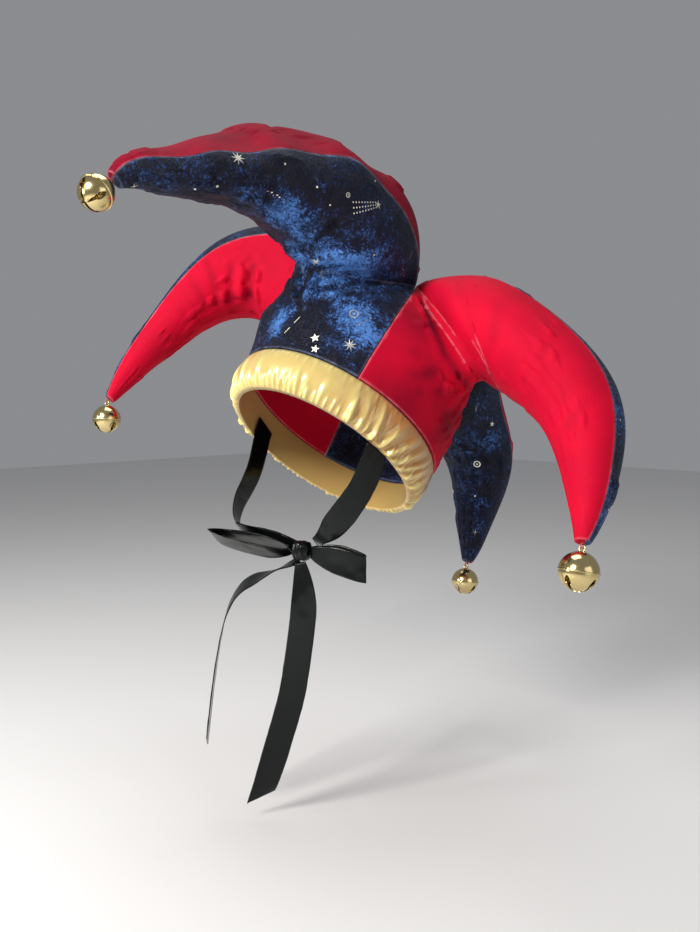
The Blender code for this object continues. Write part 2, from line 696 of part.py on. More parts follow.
def bow_loop(name, length, rise, opening, turn, roll):
    """One loop of the bow: out along the top, round the end and back to the knot."""
    way = math.copysign(1.0, length)
    start = KNOT_SIZE[0] + 4.0 * GAP
    long = abs(length) * MM - start
    lean = Matrix.Rotation(math.radians(roll), 3, "X")
    spin = Matrix.Rotation(math.radians(turn), 3, "Z")
    upright = spin @ lean @ Vector((0.0, 0.0, 1.0))
    path, normals = [], []
    count = 12
    for number in range(count + 1):
        angle = math.pi * (number / count * 2.0 - 1.0)
        along = start + long * (1.0 + math.cos(angle)) / 2.0
        ply = RIBBON_THICKNESS * 0.8 * ((number > count / 2) - (number < count / 2))
        apart = opening * MM * math.sin(angle) * (0.35 + 0.65 * math.sin(abs(angle) / 2.0)) + ply
        lift = rise * MM * ((along - start) / long) ** 1.3
        middle = spin @ (lean @ Vector((way * along, apart, 0.0))
                         + Vector((0.0, -BOW_FORWARD, lift)))
        path.append(KNOT_CENTRE + middle)
    for number in range(count + 1):
        ahead = path[min(number + 1, count)] - path[max(number - 1, 0)]
        normals.append(ahead.cross(upright))
    return ribbon(name, path, normals, (0, -1))


def knot():
    """The bow's knot, a rounded bundle of ribbon."""
    bm = bmesh.new()
    bmesh.ops.create_uvsphere(bm, u_segments=12, v_segments=8, radius=1.0)
    for vert in bm.verts:
        x, y, z = vert.co
        square = 1.0 / max(abs(x), abs(y), abs(z), 0.8)
        vert.co = KNOT_CENTRE + Vector((x * KNOT_SIZE[0], y * KNOT_SIZE[1], z * KNOT_SIZE[2])) * square
    return mesh_object("bow_knot", bm, "black_satin")


def main():
    """Build every piece of the hat."""
    clear_scene()
    band()
    for horn in HORNS:
        under_panel(horn)
        top_panel(horn)
        bell(horn)
        thread(horn)
    for name, (angle, rows) in STRAPS.items():
        strap(name, angle, rows)
    for name, rows in TAILS.items():
        ribbon_stretch(name, rows, (0,), cut_end=True)
    for name, sizes in BOW_LOOPS.items():
        bow_loop(name, *sizes)
    knot()


main()
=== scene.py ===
"""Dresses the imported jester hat: velvet horns, gathered satin band, ribbon, bells and foil print."""

import logging
import math
import random
from dataclasses import dataclass, field
from enum import Enum

import bmesh
import bpy
import numpy as np
from mathutils import Matrix, Vector
from mathutils.bvhtree import BVHTree
from mathutils.kdtree import KDTree

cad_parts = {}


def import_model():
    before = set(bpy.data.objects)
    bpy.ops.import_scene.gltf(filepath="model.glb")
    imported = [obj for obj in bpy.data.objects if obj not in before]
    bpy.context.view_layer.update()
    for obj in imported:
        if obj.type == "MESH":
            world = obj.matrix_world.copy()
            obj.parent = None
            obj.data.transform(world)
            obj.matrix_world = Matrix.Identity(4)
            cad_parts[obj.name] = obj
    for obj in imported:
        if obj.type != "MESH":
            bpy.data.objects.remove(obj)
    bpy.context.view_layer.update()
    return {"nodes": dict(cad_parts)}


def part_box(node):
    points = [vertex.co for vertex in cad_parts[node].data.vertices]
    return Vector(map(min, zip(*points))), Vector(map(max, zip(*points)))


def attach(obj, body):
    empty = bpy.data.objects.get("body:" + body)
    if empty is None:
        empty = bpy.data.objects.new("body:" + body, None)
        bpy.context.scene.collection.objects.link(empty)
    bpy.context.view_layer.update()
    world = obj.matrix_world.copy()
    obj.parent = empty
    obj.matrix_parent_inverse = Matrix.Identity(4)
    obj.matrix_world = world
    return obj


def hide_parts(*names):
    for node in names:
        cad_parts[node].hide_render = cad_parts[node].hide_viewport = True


LOG = logging.getLogger("jester_hat")
MM = 0.001
IMAGE_SIZE = (700.0, 932.0)
HORNS = ("front", "left", "back", "right")
BODY = "root"
UP = Vector((0.0, 0.0, 1.0))
Colour = tuple[float, float, float]
Nodes = dict[str, bpy.types.Object]
Outline = list[tuple[float, float]]

# How the opening leans back, and the hollow above it, in metres along and across that lean
BAND_TILT = math.radians(38.0)
HOLLOW_TOP = 0.128
HOLLOW_RADIUS = 0.1035


class Slot(Enum):
    """The material slots."""

    BLUE = "blue_velvet"
    RED = "red_velvet"
    GOLD = "gold_satin"
    BLACK = "black_satin"
    BRASS = "brass"
    THREAD = "thread"


class Mark(Enum):
    """The generic figures of the foil print."""

    STAR_EIGHT = "eight point star"
    STAR_FIVE = "five point star"
    CROSS = "thin cross"
    RING = "ring"
    DOT = "dot"
    COMET = "comet"
    TRAIL = "dotted trail"
    DASH = "dash"


def lattice_noise(places: np.ndarray, scale: float, seed: int) -> np.ndarray:
    """Smooth random values from -1 to 1 that depend on place alone.

    Args:
        places: Points in metres.
        scale: Size of one cell in metres.
        seed: Picks the pattern.

    Returns:
        One value for each point.
    """
    cell = places / scale
    low = np.floor(cell).astype(np.int64)
    part = smooth_step(cell - low)
    total = np.zeros(len(places))
    for corner in range(8):
        step = np.array([(corner >> k) & 1 for k in range(3)])
        key = (low + step) * np.array([73856093, 19349663, 83492791])
        mixed = (key[:, 0] ^ key[:, 1] ^ key[:, 2]) + seed * 1013
        mixed = (mixed * 2654435761) & 0xFFFFFFFF
        mixed = ((mixed ^ (mixed >> 15)) * 2246822519) & 0xFFFFFFFF
        value = ((mixed ^ (mixed >> 13)) & 0xFFFF) / 32767.5 - 1.0
        total += value * np.prod(np.where(step == 1, part, 1.0 - part), axis=1)
    return total


class Noise(Enum):
    """The noises that shape and tint the cloth: size of a cell in metres, and seed."""

    DRIFT = (0.030, 3)
    STRENGTH = (0.022, 7)
    SWELL = (0.045, 11)
    DIMPLE = (0.016, 13)
    RIDGE = (0.019, 15)
    FINE_RIDGE = (0.009, 17)
    MOTTLE = (0.042, 21)
    FINE_MOTTLE = (0.017, 23)
    RAGGED = (0.012, 29)
    RIPPLE = (0.020, 31)
    FINE_RIPPLE = (0.008, 37)
    WRINKLE = (0.004, 41)
    BEND_X = (0.024, 51)
    BEND_Y = (0.024, 52)
    BEND_Z = (0.024, 53)
    # breaks up the painted highlight along the seams
    LINT = (0.004, 61)

    def at(self, places: np.ndarray) -> np.ndarray:
        """The noise at each place, from -1 to 1."""
        return lattice_noise(places, *self.value)


def smooth_step(value: np.ndarray | float) -> np.ndarray | float:
    """A smooth step from 0 to 1."""
    value = np.clip(value, 0.0, 1.0)
    return value * value * (3.0 - 2.0 * value)


def rise(away: np.ndarray, reach: float) -> np.ndarray:
    """0 at a seam and nearer to 1 with the distance from it, over a reach in millimetres."""
    return 1.0 - np.exp(-away / reach)


def deselect_all() -> None:
    """Leave nothing selected."""
    if bpy.context.object and bpy.context.object.mode != "OBJECT":
        bpy.ops.object.mode_set(mode="OBJECT")
    bpy.ops.object.select_all(action="DESELECT")


def select_only(*objects: bpy.types.Object) -> None:
    """Select some objects, and make the first one active.

    Args:
        objects: The objects to work on.
    """
    deselect_all()
    for obj in objects:
        obj.hide_set(False)
        obj.select_set(True)
    bpy.context.view_layer.objects.active = objects[0]


def apply_modifier(obj: bpy.types.Object, kind: str, **settings: object) -> None:
    """Add a modifier and apply it.

    Args:
        obj: The mesh object.
        kind: The modifier's type name.
        settings: Values of its properties.
    """
    select_only(obj)
    modifier = obj.modifiers.new(kind.lower(), kind)
    for name, value in settings.items():
        setattr(modifier, name, value)
    bpy.ops.object.modifier_apply(modifier=modifier.name)


def apply_place(obj: bpy.types.Object) -> None:
    """Move an object's place, turn and scale into its mesh."""
    select_only(obj)
    bpy.ops.object.transform_apply(location=True, rotation=True, scale=True)


def join_parts(name: str, *parts: bpy.types.Object) -> bpy.types.Object:
    """Join objects into one.

    Args:
        name: The joined piece's name.
        parts: The objects, of which the first one stays.

    Returns:
        The joined object, with its place in its mesh.
    """
    select_only(*parts)
    bpy.ops.object.join()
    parts[0].name = name
    apply_place(parts[0])
    return parts[0]


def add_ring(radius: float, wire: float, segments: tuple[int, int], place: tuple[float, float, float],
             turn: tuple[float, float, float] = (0.0, 0.0, 0.0)) -> bpy.types.Object:
    """A ring of round wire.

    Args:
        radius: The ring's radius in metres.
        wire: The wire's radius in metres.
        segments: Steps round the ring and round the wire.
        place: The ring's middle.
        turn: Its angles.

    Returns:
        The ring.
    """
    bpy.ops.mesh.primitive_torus_add(major_radius=radius, minor_radius=wire, major_segments=segments[0],
                                     minor_segments=segments[1], location=place, rotation=turn)
    return bpy.context.object


def rows_of(items: bpy.types.bpy_prop_collection, name: str) -> np.ndarray:
    """A vector property of every item as a table.

    Args:
        items: Vertices or normals.
        name: The property.

    Returns:
        One row for each item.
    """
    values = np.empty(len(items) * 3, dtype=np.float32)
    items.foreach_get(name, values)
    return values.reshape(-1, 3).astype(float)


def coords_of(mesh: bpy.types.Mesh) -> np.ndarray:
    """The vertex places of a mesh, one row for each vertex."""
    return rows_of(mesh.vertices, "co")


def normals_of(mesh: bpy.types.Mesh) -> np.ndarray:
    """The vertex normals of a mesh, one row for each vertex."""
    return rows_of(mesh.vertex_normals, "vector")


def set_coords(mesh: bpy.types.Mesh, places: np.ndarray) -> None:
    """Move the vertices of a mesh to new places, one row for each vertex."""
    mesh.vertices.foreach_set("co", places.ravel())
    mesh.update()


def surface_tree(*surfaces: tuple[np.ndarray, bpy.types.Mesh]) -> BVHTree:
    """A search tree of one or more surfaces.

    Args:
        surfaces: The vertex places and the mesh of each.

    Returns:
        The tree.
    """
    points, faces = [], []
    for places, mesh in surfaces:
        start = len(points)
        points += [Vector(place) for place in places]
        faces += [tuple(start + k for k in face.vertices) for face in mesh.polygons]
    return BVHTree.FromPolygons(points, faces)


def middle_of(node: str) -> Vector:
    """The middle of a CAD node's box, in metres."""
    low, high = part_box(node)
    return (Vector(low) + Vector(high)) / 2.0


def store_value(mesh: bpy.types.Mesh, name: str, values: np.ndarray) -> None:
    """Store one number for each vertex, under a name that the piece's material reads."""
    layer = mesh.attributes.new(name, "FLOAT", "POINT")
    layer.data.foreach_set("value", np.asarray(values, dtype=np.float32).ravel())


def new_object(name: str, data: bpy.types.ID) -> bpy.types.Object:
    """A new object in the scene.

    Args:
        name: The object's name.
        data: Its mesh, light or camera.

    Returns:
        The object.
    """
    obj = bpy.data.objects.new(name, data)
    bpy.context.scene.collection.objects.link(obj)
    return obj


def finish_piece(obj: bpy.types.Object, slot: Slot, material: bpy.types.Material, *stands_for: str) -> None:
    """Dress a piece, hang it on the hat and hide the CAD nodes that it stands for.

    Args:
        obj: The finished piece.
        slot: The material slot, which is not used.
        material: Its finish.
        stands_for: CAD nodes that it replaces.
    """
    obj.data.materials.clear()
    obj.data.materials.append(material)
    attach(obj, BODY)
    if stands_for:
        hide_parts(*stands_for)
    LOG.info("%s: %d vertices", obj.name, len(obj.data.vertices))


def node_copy(node: bpy.types.Object, name: str, sharp: float = 42.0) -> bpy.types.Object:
    """A merged copy of a CAD node, divided finer with its sharp edges kept.

    Args:
        node: The CAD node's object, which is left alone.
        name: The copy's name.
        sharp: Edges that bend by more than this angle in degrees stay sharp.

    Returns:
        The copy.
    """
    obj = new_object(name, node.data.copy())
    flat = math.radians(60.0)
    select_only(obj)
    bpy.ops.object.mode_set(mode="EDIT")
    bpy.ops.mesh.select_all(action="SELECT")
    bpy.ops.mesh.customdata_custom_splitnormals_clear()
    bpy.ops.mesh.remove_doubles(threshold=0.00002)
    bpy.ops.mesh.tris_convert_to_quads(face_threshold=flat, shape_threshold=flat)
    bpy.ops.mesh.normals_make_consistent(inside=False)
    bpy.ops.object.mode_set(mode="OBJECT")
    mark_sharp_creases(obj.data, sharp)
    apply_modifier(obj, "SUBSURF", levels=3, render_levels=3)
    select_only(obj)
    bpy.ops.object.shade_smooth()
    return obj


def mark_sharp_creases(mesh: bpy.types.Mesh, sharp: float) -> None:
    """Crease the edges that bend sharply, so that dividing keeps them.

    Args:
        mesh: The merged mesh.
        sharp: The least angle in degrees.
    """
    bm = bmesh.new()
    bm.from_mesh(mesh)
    layer = bm.edges.layers.float.get("crease_edge") or bm.edges.layers.float.new("crease_edge")
    for edge in bm.edges:
        bends = len(edge.link_faces) == 2 and edge.calc_face_angle(0.0) > math.radians(sharp)
        edge[layer] = float(bends)
    bm.to_mesh(mesh)
    bm.free()


@dataclass(frozen=True)
class PhotoView:
    """The camera of the photograph, and the places that its pixels show."""

    azimuth: float = math.radians(46.0)
    elevation: float = math.radians(4.0)
    distance: float = 0.930
    focal_pixels: float = 967.0
    sensor: float = 36.0
    shift: tuple[float, float] = (27.5, -13.0)

    def away(self) -> Vector:
        """The direction from the hat's origin to the camera."""
        return Vector((math.sin(self.azimuth) * math.cos(self.elevation),
                       -math.cos(self.azimuth) * math.cos(self.elevation), math.sin(self.elevation)))

    def right(self) -> tuple[float, float, float]:
        """The level direction that points right in the photograph."""
        return math.cos(self.azimuth), math.sin(self.azimuth), 0.0

    def turn(self) -> Matrix:
        """How the camera is turned."""
        return self.away().to_track_quat("Z", "Y").to_matrix()

    def make_camera(self) -> None:
        """Add the scene's camera."""
        data = bpy.data.cameras.new("photo_camera")
        camera = new_object("photo_camera", data)
        camera.location = self.away() * self.distance
        camera.rotation_euler = self.away().to_track_quat("Z", "Y").to_euler()
        data.lens = self.focal_pixels * self.sensor / IMAGE_SIZE[1]
        data.shift_x = self.shift[0] / IMAGE_SIZE[1]
        data.shift_y = self.shift[1] / IMAGE_SIZE[1]
        data.clip_start = 0.01
        bpy.context.scene.camera = camera

    def spot(self, tree: BVHTree, pixel: tuple[float, float]) -> tuple[Vector | None, Vector | None]:
        """The place on a surface that a pixel shows.

        Args:
            tree: The surface's search tree.
            pixel: Across and down in the photograph.

        Returns:
            The place and the surface's normal there, or None for both where the pixel misses it.
        """
        across = (pixel[0] - IMAGE_SIZE[0] / 2.0 + self.shift[0]) / self.focal_pixels
        up = (IMAGE_SIZE[1] / 2.0 - pixel[1] + self.shift[1]) / self.focal_pixels
        way = (self.turn() @ Vector((across, up, -1.0))).normalized()
        return tree.ray_cast(self.away() * self.distance, way)[:2]


VIEW = PhotoView()


@dataclass(frozen=True)
class Shift:
    """One soft shift of the stuffed shape: where, how far and over what radius, in millimetres.

    The place is a point, or the node whose middle it is.
    """

    place: tuple[float, float, float] | str
    across: float
    up: float
    radius: float


@dataclass(frozen=True)
class ShapeShifts:
    """Soft shifts in the photograph's plane that bring the worn shape closer to it."""

    shifts: tuple[Shift, ...]

    def moved(self, places: np.ndarray) -> np.ndarray:
        """Points after the shifts.

        Args:
            places: Points in metres.

        Returns:
            The shifted points.
        """
        across, up = np.array(VIEW.right()), np.array(UP)
        total = np.zeros_like(places)
        for shift in self.shifts:
            place = middle_of(shift.place) / MM if isinstance(shift.place, str) else shift.place
            gap = np.linalg.norm(places / MM - np.array(place), axis=1) / shift.radius
            total += np.exp(-gap ** 2)[:, None] * (across * shift.across + up * shift.up) * MM
        return places + total

    def moved_point(self, place: Vector) -> Vector:
        """One point after the shifts."""
        return Vector(self.moved(np.array([place]))[0])


SHIFTS = ShapeShifts((
    Shift("thread_front", -8.0, 14.0, 58.0),            # tip of the front horn
    Shift((5.0, -27.0, 166.0), -10.0, 12.0, 32.0),      # its inner bend
    Shift((-25.0, -38.0, 128.0), -9.0, 0.0, 24.0),      # its left side above the band
    Shift((36.0, -125.0, 272.0), 0.0, -13.0, 30.0),     # its seam
    Shift((32.0, -178.0, 256.0), 0.0, -9.0, 32.0),      # its seam nearer the tip
    Shift((0.0, -88.0, 282.0), 0.0, 15.0, 34.0),        # its ridge
    Shift((12.0, -52.0, 279.0), 0.0, 9.0, 22.0),        # its ridge at the middle
    Shift((20.0, -20.0, 268.0), 0.0, 18.0, 34.0),       # its ridge nearer the crown
    Shift((8.0, -172.0, 274.0), 0.0, -5.0, 28.0),       # its ridge nearer the tip
    Shift((60.0, -16.0, 250.0), 4.0, 11.0, 34.0),       # its shoulder
    Shift((38.0, 46.0, 252.0), 2.0, 14.0, 36.0),        # behind its shoulder
    Shift("thread_right", 8.0, 5.0, 45.0),              # tip of the far horn
    Shift((45.0, 230.0, 31.0), -7.0, 0.0, 34.0),        # outer side of the back horn
    Shift("thread_back", 5.0, 1.0, 38.0),               # its tip
    Shift("thread_left", -2.0, 7.0, 45.0),              # tip of the near horn
    Shift((81.0, 99.0, 175.0), 0.0, -6.0, 40.0),        # its root
))


def set_node(node: bpy.types.Node, settings: dict[object, object]) -> None:
    """Set a node's properties, whose names are in lower case, and then its sockets.

    Args:
        node: The node.
        settings: Values by property, or by the name or number of an input.
    """
    for key in sorted(settings, key=lambda key: not str(key).islower()):
        if str(key).islower():
            setattr(node, key, settings[key])
        else:
            node.inputs[key].default_value = settings[key]


def add_nodes(tree: bpy.types.NodeTree, plan: dict[str, tuple[str, dict[object, object]]]
              ) -> dict[str, bpy.types.Node]:
    """Add named nodes to a tree.

    Args:
        tree: The node tree.
        plan: For each name the node's kind and its settings.

    Returns:
        The nodes by name.
    """
    nodes = {}
    for number, (name, (kind, settings)) in enumerate(plan.items()):
        nodes[name] = tree.nodes.new("ShaderNode" + kind)
        nodes[name].label = name
        nodes[name].location = (200 * number - 1600, 200 * (number % 2) - 400)
        set_node(nodes[name], settings)
    return nodes


def wire_up(tree: bpy.types.NodeTree, nodes: dict[str, bpy.types.Node], *wires: str) -> None:
    """Link nodes from outputs to inputs.

    Args:
        tree: The node tree.
        nodes: Its nodes by name.
        wires: Links such as "grain.Fac > lift.0", each end a node and a socket's name or number.
    """
    for wire in wires:
        (source, out), (target, into) = (end.split(".") for end in wire.split(" > "))
        tree.links.new(nodes[source].outputs[int(out) if out.isdigit() else out],
                       nodes[target].inputs[int(into) if into.isdigit() else into])


def new_group(name: str, inputs: dict[str, float | None], outputs: tuple[str, ...]
              ) -> tuple[bpy.types.NodeTree, dict[str, bpy.types.Node]]:
    """A shader node group with named sockets.

    Args:
        name: The group's name.
        inputs: Default value for each input, or None for a vector.
        outputs: Names of the number outputs.

    Returns:
        The group, and its start and end nodes by name.
    """
    group = bpy.data.node_groups.new(name, "ShaderNodeTree")
    for label, value in inputs.items():
        kind = "NodeSocketVector" if value is None else "NodeSocketFloat"
        socket = group.interface.new_socket(label, in_out="INPUT", socket_type=kind)
        if value is not None:
            socket.default_value = value
    for label in outputs:
        group.interface.new_socket(label, in_out="OUTPUT", socket_type="NodeSocketFloat")
    nodes = {"start": group.nodes.new("NodeGroupInput"), "end": group.nodes.new("NodeGroupOutput")}
    nodes["start"].location = (-1900, 0)
    nodes["end"].location = (900, 0)
    return group, nodes


def pile_group() -> bpy.types.NodeTree:
    """Velvet pile: a fine grain, soft brushed patches, the cracks of crushed pile and a height.

    Returns:
        The node group.
    """
    group, nodes = new_group(
        "velvet_pile", {"Vector": None, "Grain Scale": 900.0, "Patch Scale": 40.0, "Distortion": 1.0},
        ("Grain", "Patches", "Cracks", "Height"))
    nodes |= add_nodes(group, {
        "grain": ("TexNoise", {"Detail": 3.0, "Roughness": 0.6}),
        "patches": ("TexNoise", {"Detail": 7.0, "Roughness": 0.62}),
        "level": ("Math", {"operation": "MULTIPLY", 1: 0.42}),
        "crush": ("TexNoise", {"Detail": 5.0, "Roughness": 0.65, "Distortion": 2.5}),
        "middle": ("Math", {"operation": "SUBTRACT", 1: 0.5}),
        "near": ("Math", {"operation": "ABSOLUTE"}),
        "lines": ("MapRange", {"From Min": 0.0, "From Max": 0.055, "To Min": 1.0, "To Max": 0.0}),
        "both": ("Math", {"operation": "MULTIPLY_ADD", 1: 0.45}),
        "lower": ("Math", {"operation": "MULTIPLY_ADD", 1: -0.5})})
    wire_up(group, nodes,
            "start.Vector > grain.Vector", "start.Grain Scale > grain.Scale",
            "start.Vector > patches.Vector", "start.Patch Scale > patches.Scale",
            "start.Distortion > patches.Distortion",
            "start.Vector > crush.Vector", "start.Patch Scale > level.0", "level.0 > crush.Scale",
            "crush.Fac > middle.0", "middle.0 > near.0", "near.0 > lines.Value",
            "grain.Fac > both.0", "patches.Fac > both.2", "lines.Result > lower.0", "both.0 > lower.2",
            "grain.Fac > end.Grain", "patches.Fac > end.Patches", "lines.Result > end.Cracks",
            "lower.0 > end.Height")
    return group


def weave_group() -> bpy.types.NodeTree:
    """Satin weave: crossed fine threads with uneven tension.

    Returns:
        The node group.
    """
    group, nodes = new_group(
        "satin_weave", {"Vector": None, "Threads": 2400.0, "Slub Scale": 60.0}, ("Height", "Slub"))
    nodes |= add_nodes(group, {
        "warp": ("TexWave", {"bands_direction": "X", "Distortion": 0.4, "Detail": 1.0}),
        "weft": ("TexWave", {"bands_direction": "Z", "Distortion": 0.4, "Detail": 1.0}),
        "slub": ("TexNoise", {"Detail": 4.0, "Roughness": 0.55}),
        "cross": ("Math", {"operation": "MULTIPLY"}),
        "total": ("Math", {"operation": "MULTIPLY_ADD", 1: 0.5})})
    wire_up(group, nodes,
            "start.Vector > warp.Vector", "start.Threads > warp.Scale",
            "start.Vector > weft.Vector", "start.Threads > weft.Scale",
            "start.Vector > slub.Vector", "start.Slub Scale > slub.Scale",
            "warp.Fac > cross.0", "weft.Fac > cross.1", "cross.0 > total.0", "slub.Fac > total.2",
            "total.0 > end.Height", "slub.Fac > end.Slub")
    return group


@dataclass(frozen=True)
class Finish:
    """Common ground of the finishes: a material around its Principled shader."""

    slot: Slot
    name: str

    def assemble(self, surface: dict[str, object], plan: dict[str, tuple[str, dict[object, object]]],
                 *wires: str) -> tuple[bpy.types.Material, dict[str, bpy.types.Node]]:
        """Make the material from its plan.

        Args:
            surface: Values of the shader's own sockets.
            plan: The nodes before the shader, as in add_nodes.
            wires: The links, as in wire_up, where "where" gives the place on the piece.

        Returns:
            The material and its nodes by name.
        """
        material = bpy.data.materials.new(self.name)
        material.use_nodes = True
        tree = material.node_tree
        nodes = {"shader": tree.nodes["Principled BSDF"]}
        nodes["shader"].location = (600, 0)
        tree.nodes["Material Output"].location = (900, 0)
        nodes |= add_nodes(tree, {"where": ("TexCoord", {})} | plan)
        set_node(nodes["shader"], surface)
        wire_up(tree, nodes, "bump.Normal > shader.Normal", *wires)
        return material, nodes


@dataclass(frozen=True)
class Velvet(Finish):
    """Short or crushed pile: colours by how the nap lies, from a painted nap value that also holds painted
    light and shade, and noise, with a painted highlight along the seams.
    """

    dark: Colour
    middle: Colour
    bright: Colour
    stops: tuple[float, float, float]
    patch_scale: float
    distortion: float
    patch_share: float
    grain_share: float
    bump: float
    sheen: float
    sheen_tint: Colour
    # colour of the painted highlight along the seams
    fuzz: Colour
    grain_scale: float = 900.0
    crack_share: float = 0.0
    roughness: float = 0.72
    specular: float = 0.25

    def make(self) -> bpy.types.Material:
        """The material.

        Returns:
            The finished material.
        """
        material, nodes = self.assemble(
            {"Roughness": self.roughness, "Specular IOR Level": self.specular, "Sheen Weight": self.sheen,
             "Sheen Roughness": 0.35, "Sheen Tint": (*self.sheen_tint, 1.0)},
            {"pile": ("Group", {"node_tree": bpy.data.node_groups["velvet_pile"],
                                "Grain Scale": self.grain_scale, "Patch Scale": self.patch_scale,
                                "Distortion": self.distortion}),
             # the stored nap value holds painted light and shade as well as the lie of the pile
             "nap": ("Attribute", {"attribute_name": "nap"}),
             "patch": ("Math", {"operation": "MULTIPLY_ADD", 1: self.patch_share}),
             "grain": ("Math", {"operation": "MULTIPLY_ADD", 1: self.grain_share}),
             "crack": ("Math", {"operation": "MULTIPLY_ADD", 1: -self.crack_share}),
             "ramp": ("ValToRGB", {}),
             # a painted highlight along the seams, mixed into the pile colour
             "edge": ("Attribute", {"attribute_name": "fuzz"}),
             "seam": ("Mix", {"data_type": "RGBA", "B": (*self.fuzz, 1.0)}),
             "bump": ("Bump", {"Strength": 0.6, "Distance": self.bump})},
            "where.Object > pile.Vector", "pile.Patches > patch.0", "nap.Fac > patch.2",
            "pile.Grain > grain.0", "patch.0 > grain.2", "pile.Cracks > crack.0", "grain.0 > crack.2",
            "crack.0 > ramp.Fac", "edge.Fac > seam.Factor", "ramp.Color > seam.A",
            "seam.Result > shader.Base Color", "pile.Height > bump.Height")
        ramp = nodes["ramp"].color_ramp
        ramp.elements[0].position = self.stops[0]
        ramp.elements[1].position = self.stops[2]
        ramp.elements.new(self.stops[1])
        for element, colour in zip(ramp.elements, (self.dark, self.middle, self.bright)):
            element.color = (*colour, 1.0)
        return material


@dataclass(frozen=True)
class Satin(Finish):
    """Glossy satin with a fine weave and a little unevenness; where a piece stores a fold value, its colour
    mixes between lit and shaded copies by that painted light and shade.
    """

    light: Colour
    shade: Colour
    roughness: float
    coat: float
    threads: float
    bump: float
    specular: float = 0.7
    sheen: float = 0.0
    slub: float = 0.12
    highlight: Colour = (1.0, 1.0, 1.0)

    def make(self) -> bpy.types.Material:
        """The material.

        Returns:
            The finished material.
        """
        return self.assemble(
            {"Roughness": self.roughness, "Specular IOR Level": self.specular,
             "Specular Tint": (*self.highlight, 1.0), "Coat Weight": self.coat, "Coat Roughness": 0.25,
             "Sheen Weight": self.sheen},
            {"weave": ("Group", {"node_tree": bpy.data.node_groups["satin_weave"], "Threads": self.threads}),
             # the fold value is painted light and shade, where a piece stores one
             "fold": ("Attribute", {"attribute_name": "fold"}),
             "level": ("Math", {"operation": "MULTIPLY_ADD", "use_clamp": True, 1: self.slub}),
             "mix": ("Mix", {"data_type": "RGBA", "A": (*self.shade, 1.0), "B": (*self.light, 1.0)}),
             "bump": ("Bump", {"Strength": 0.35, "Distance": self.bump})},
            "where.Object > weave.Vector", "weave.Slub > level.0", "fold.Fac > level.2",
            "level.0 > mix.Factor", "mix.Result > shader.Base Color", "weave.Height > bump.Height")[0]


@dataclass(frozen=True)
class Plated(Finish):
    """Polished plated metal with faint smudges and scratches."""

    light: Colour
    tarnish: Colour
    roughness: tuple[float, float]

    def make(self) -> bpy.types.Material:
        """The material.

        Returns:
            The finished material.
        """
        return self.assemble(
            {"Metallic": 1.0},
            {"smudge": ("TexNoise", {"Scale": 120.0, "Detail": 5.0}),
             "scratch": ("TexNoise", {"Scale": 1500.0, "Detail": 2.0}),
             "mix": ("Mix", {"data_type": "RGBA", "A": (*self.light, 1.0), "B": (*self.tarnish, 1.0)}),
             "rough": ("MapRange", {"From Min": 0.3, "From Max": 0.7, "To Min": self.roughness[0],
                                    "To Max": self.roughness[1]}),
             "bump": ("Bump", {"Strength": 0.15, "Distance": 0.0001})},
            "where.Object > smudge.Vector", "where.Object > scratch.Vector", "smudge.Fac > mix.Factor",
            "mix.Result > shader.Base Color", "smudge.Fac > rough.Value", "rough.Result > shader.Roughness",
            "scratch.Fac > bump.Height")[0]


# each velvet's pale seam colour is its painted highlight along the seams
BLUE_VELVET = Velvet(
    Slot.BLUE, "crushed_blue_velvet", dark=(0.0022, 0.0030, 0.0115), middle=(0.010, 0.029, 0.105),
    bright=(0.075, 0.215, 0.570), stops=(0.50, 0.66, 0.98), patch_scale=170.0, distortion=2.2,
    patch_share=1.00, grain_share=0.62, bump=0.0017, sheen=0.08, sheen_tint=(0.32, 0.52, 0.95),
    fuzz=(0.220, 0.260, 0.420), grain_scale=420.0, crack_share=0.26, roughness=0.52, specular=0.22)
RED_VELVET = Velvet(
    Slot.RED, "bright_red_velvet", dark=(0.100, 0.0004, 0.011), middle=(0.370, 0.0008, 0.019),
    bright=(0.600, 0.001, 0.024), stops=(0.14, 0.44, 0.80), patch_scale=30.0, distortion=0.4,
    patch_share=0.14, grain_share=0.16, bump=0.0002, sheen=0.03, sheen_tint=(1.0, 0.30, 0.40),
    fuzz=(0.700, 0.240, 0.300), specular=0.10)
# light and shade are lit and shaded copies of the satin, mixed by the band's painted light and shade
GOLD_SATIN = Satin(
    Slot.GOLD, "pale_gold_satin", light=(0.880, 0.780, 0.270), shade=(0.460, 0.270, 0.085),
    roughness=0.25, coat=0.5, threads=2600.0, bump=0.00003, specular=1.0, sheen=0.05,
    highlight=(1.0, 0.95, 0.66))
BLACK_SATIN = Satin(
    Slot.BLACK, "black_satin_ribbon", light=(0.0030, 0.0036, 0.0036), shade=(0.0015, 0.0018, 0.0018),
    roughness=0.24, coat=0.0, threads=3000.0, bump=0.00003, specular=0.27, highlight=(0.92, 1.0, 0.98))
BRASS = Plated(
    Slot.BRASS, "polished_bell_brass", light=(0.830, 0.680, 0.330), tarnish=(0.520, 0.400, 0.180),
    roughness=(0.10, 0.26))
FOIL = Plated(
    Slot.BLUE, "silver_foil_print", light=(0.960, 0.950, 0.860), tarnish=(0.800, 0.780, 0.660),
    roughness=(0.38, 0.60))
THREAD = Satin(
    Slot.THREAD, "bell_sewing_thread", light=(0.700, 0.180, 0.220), shade=(0.450, 0.060, 0.090),
    roughness=0.60, coat=0.0, threads=6000.0, bump=0.0001, specular=0.3, sheen=0.2)


@dataclass(frozen=True)
class Crease:
    """A fold that the photograph shows: pixels along it, its depth and half width in millimetres."""

    pixels: tuple[tuple[float, float], ...]
    depth: float
    half: float


@dataclass(frozen=True)
class NapZone:
    """A patch painted lighter or darker, partly for how the pile lies and partly as painted light and shade:
    its middle pixel, radius in mm and strength.
    """

    pixel: tuple[float, float]
    radius: float
    strength: float


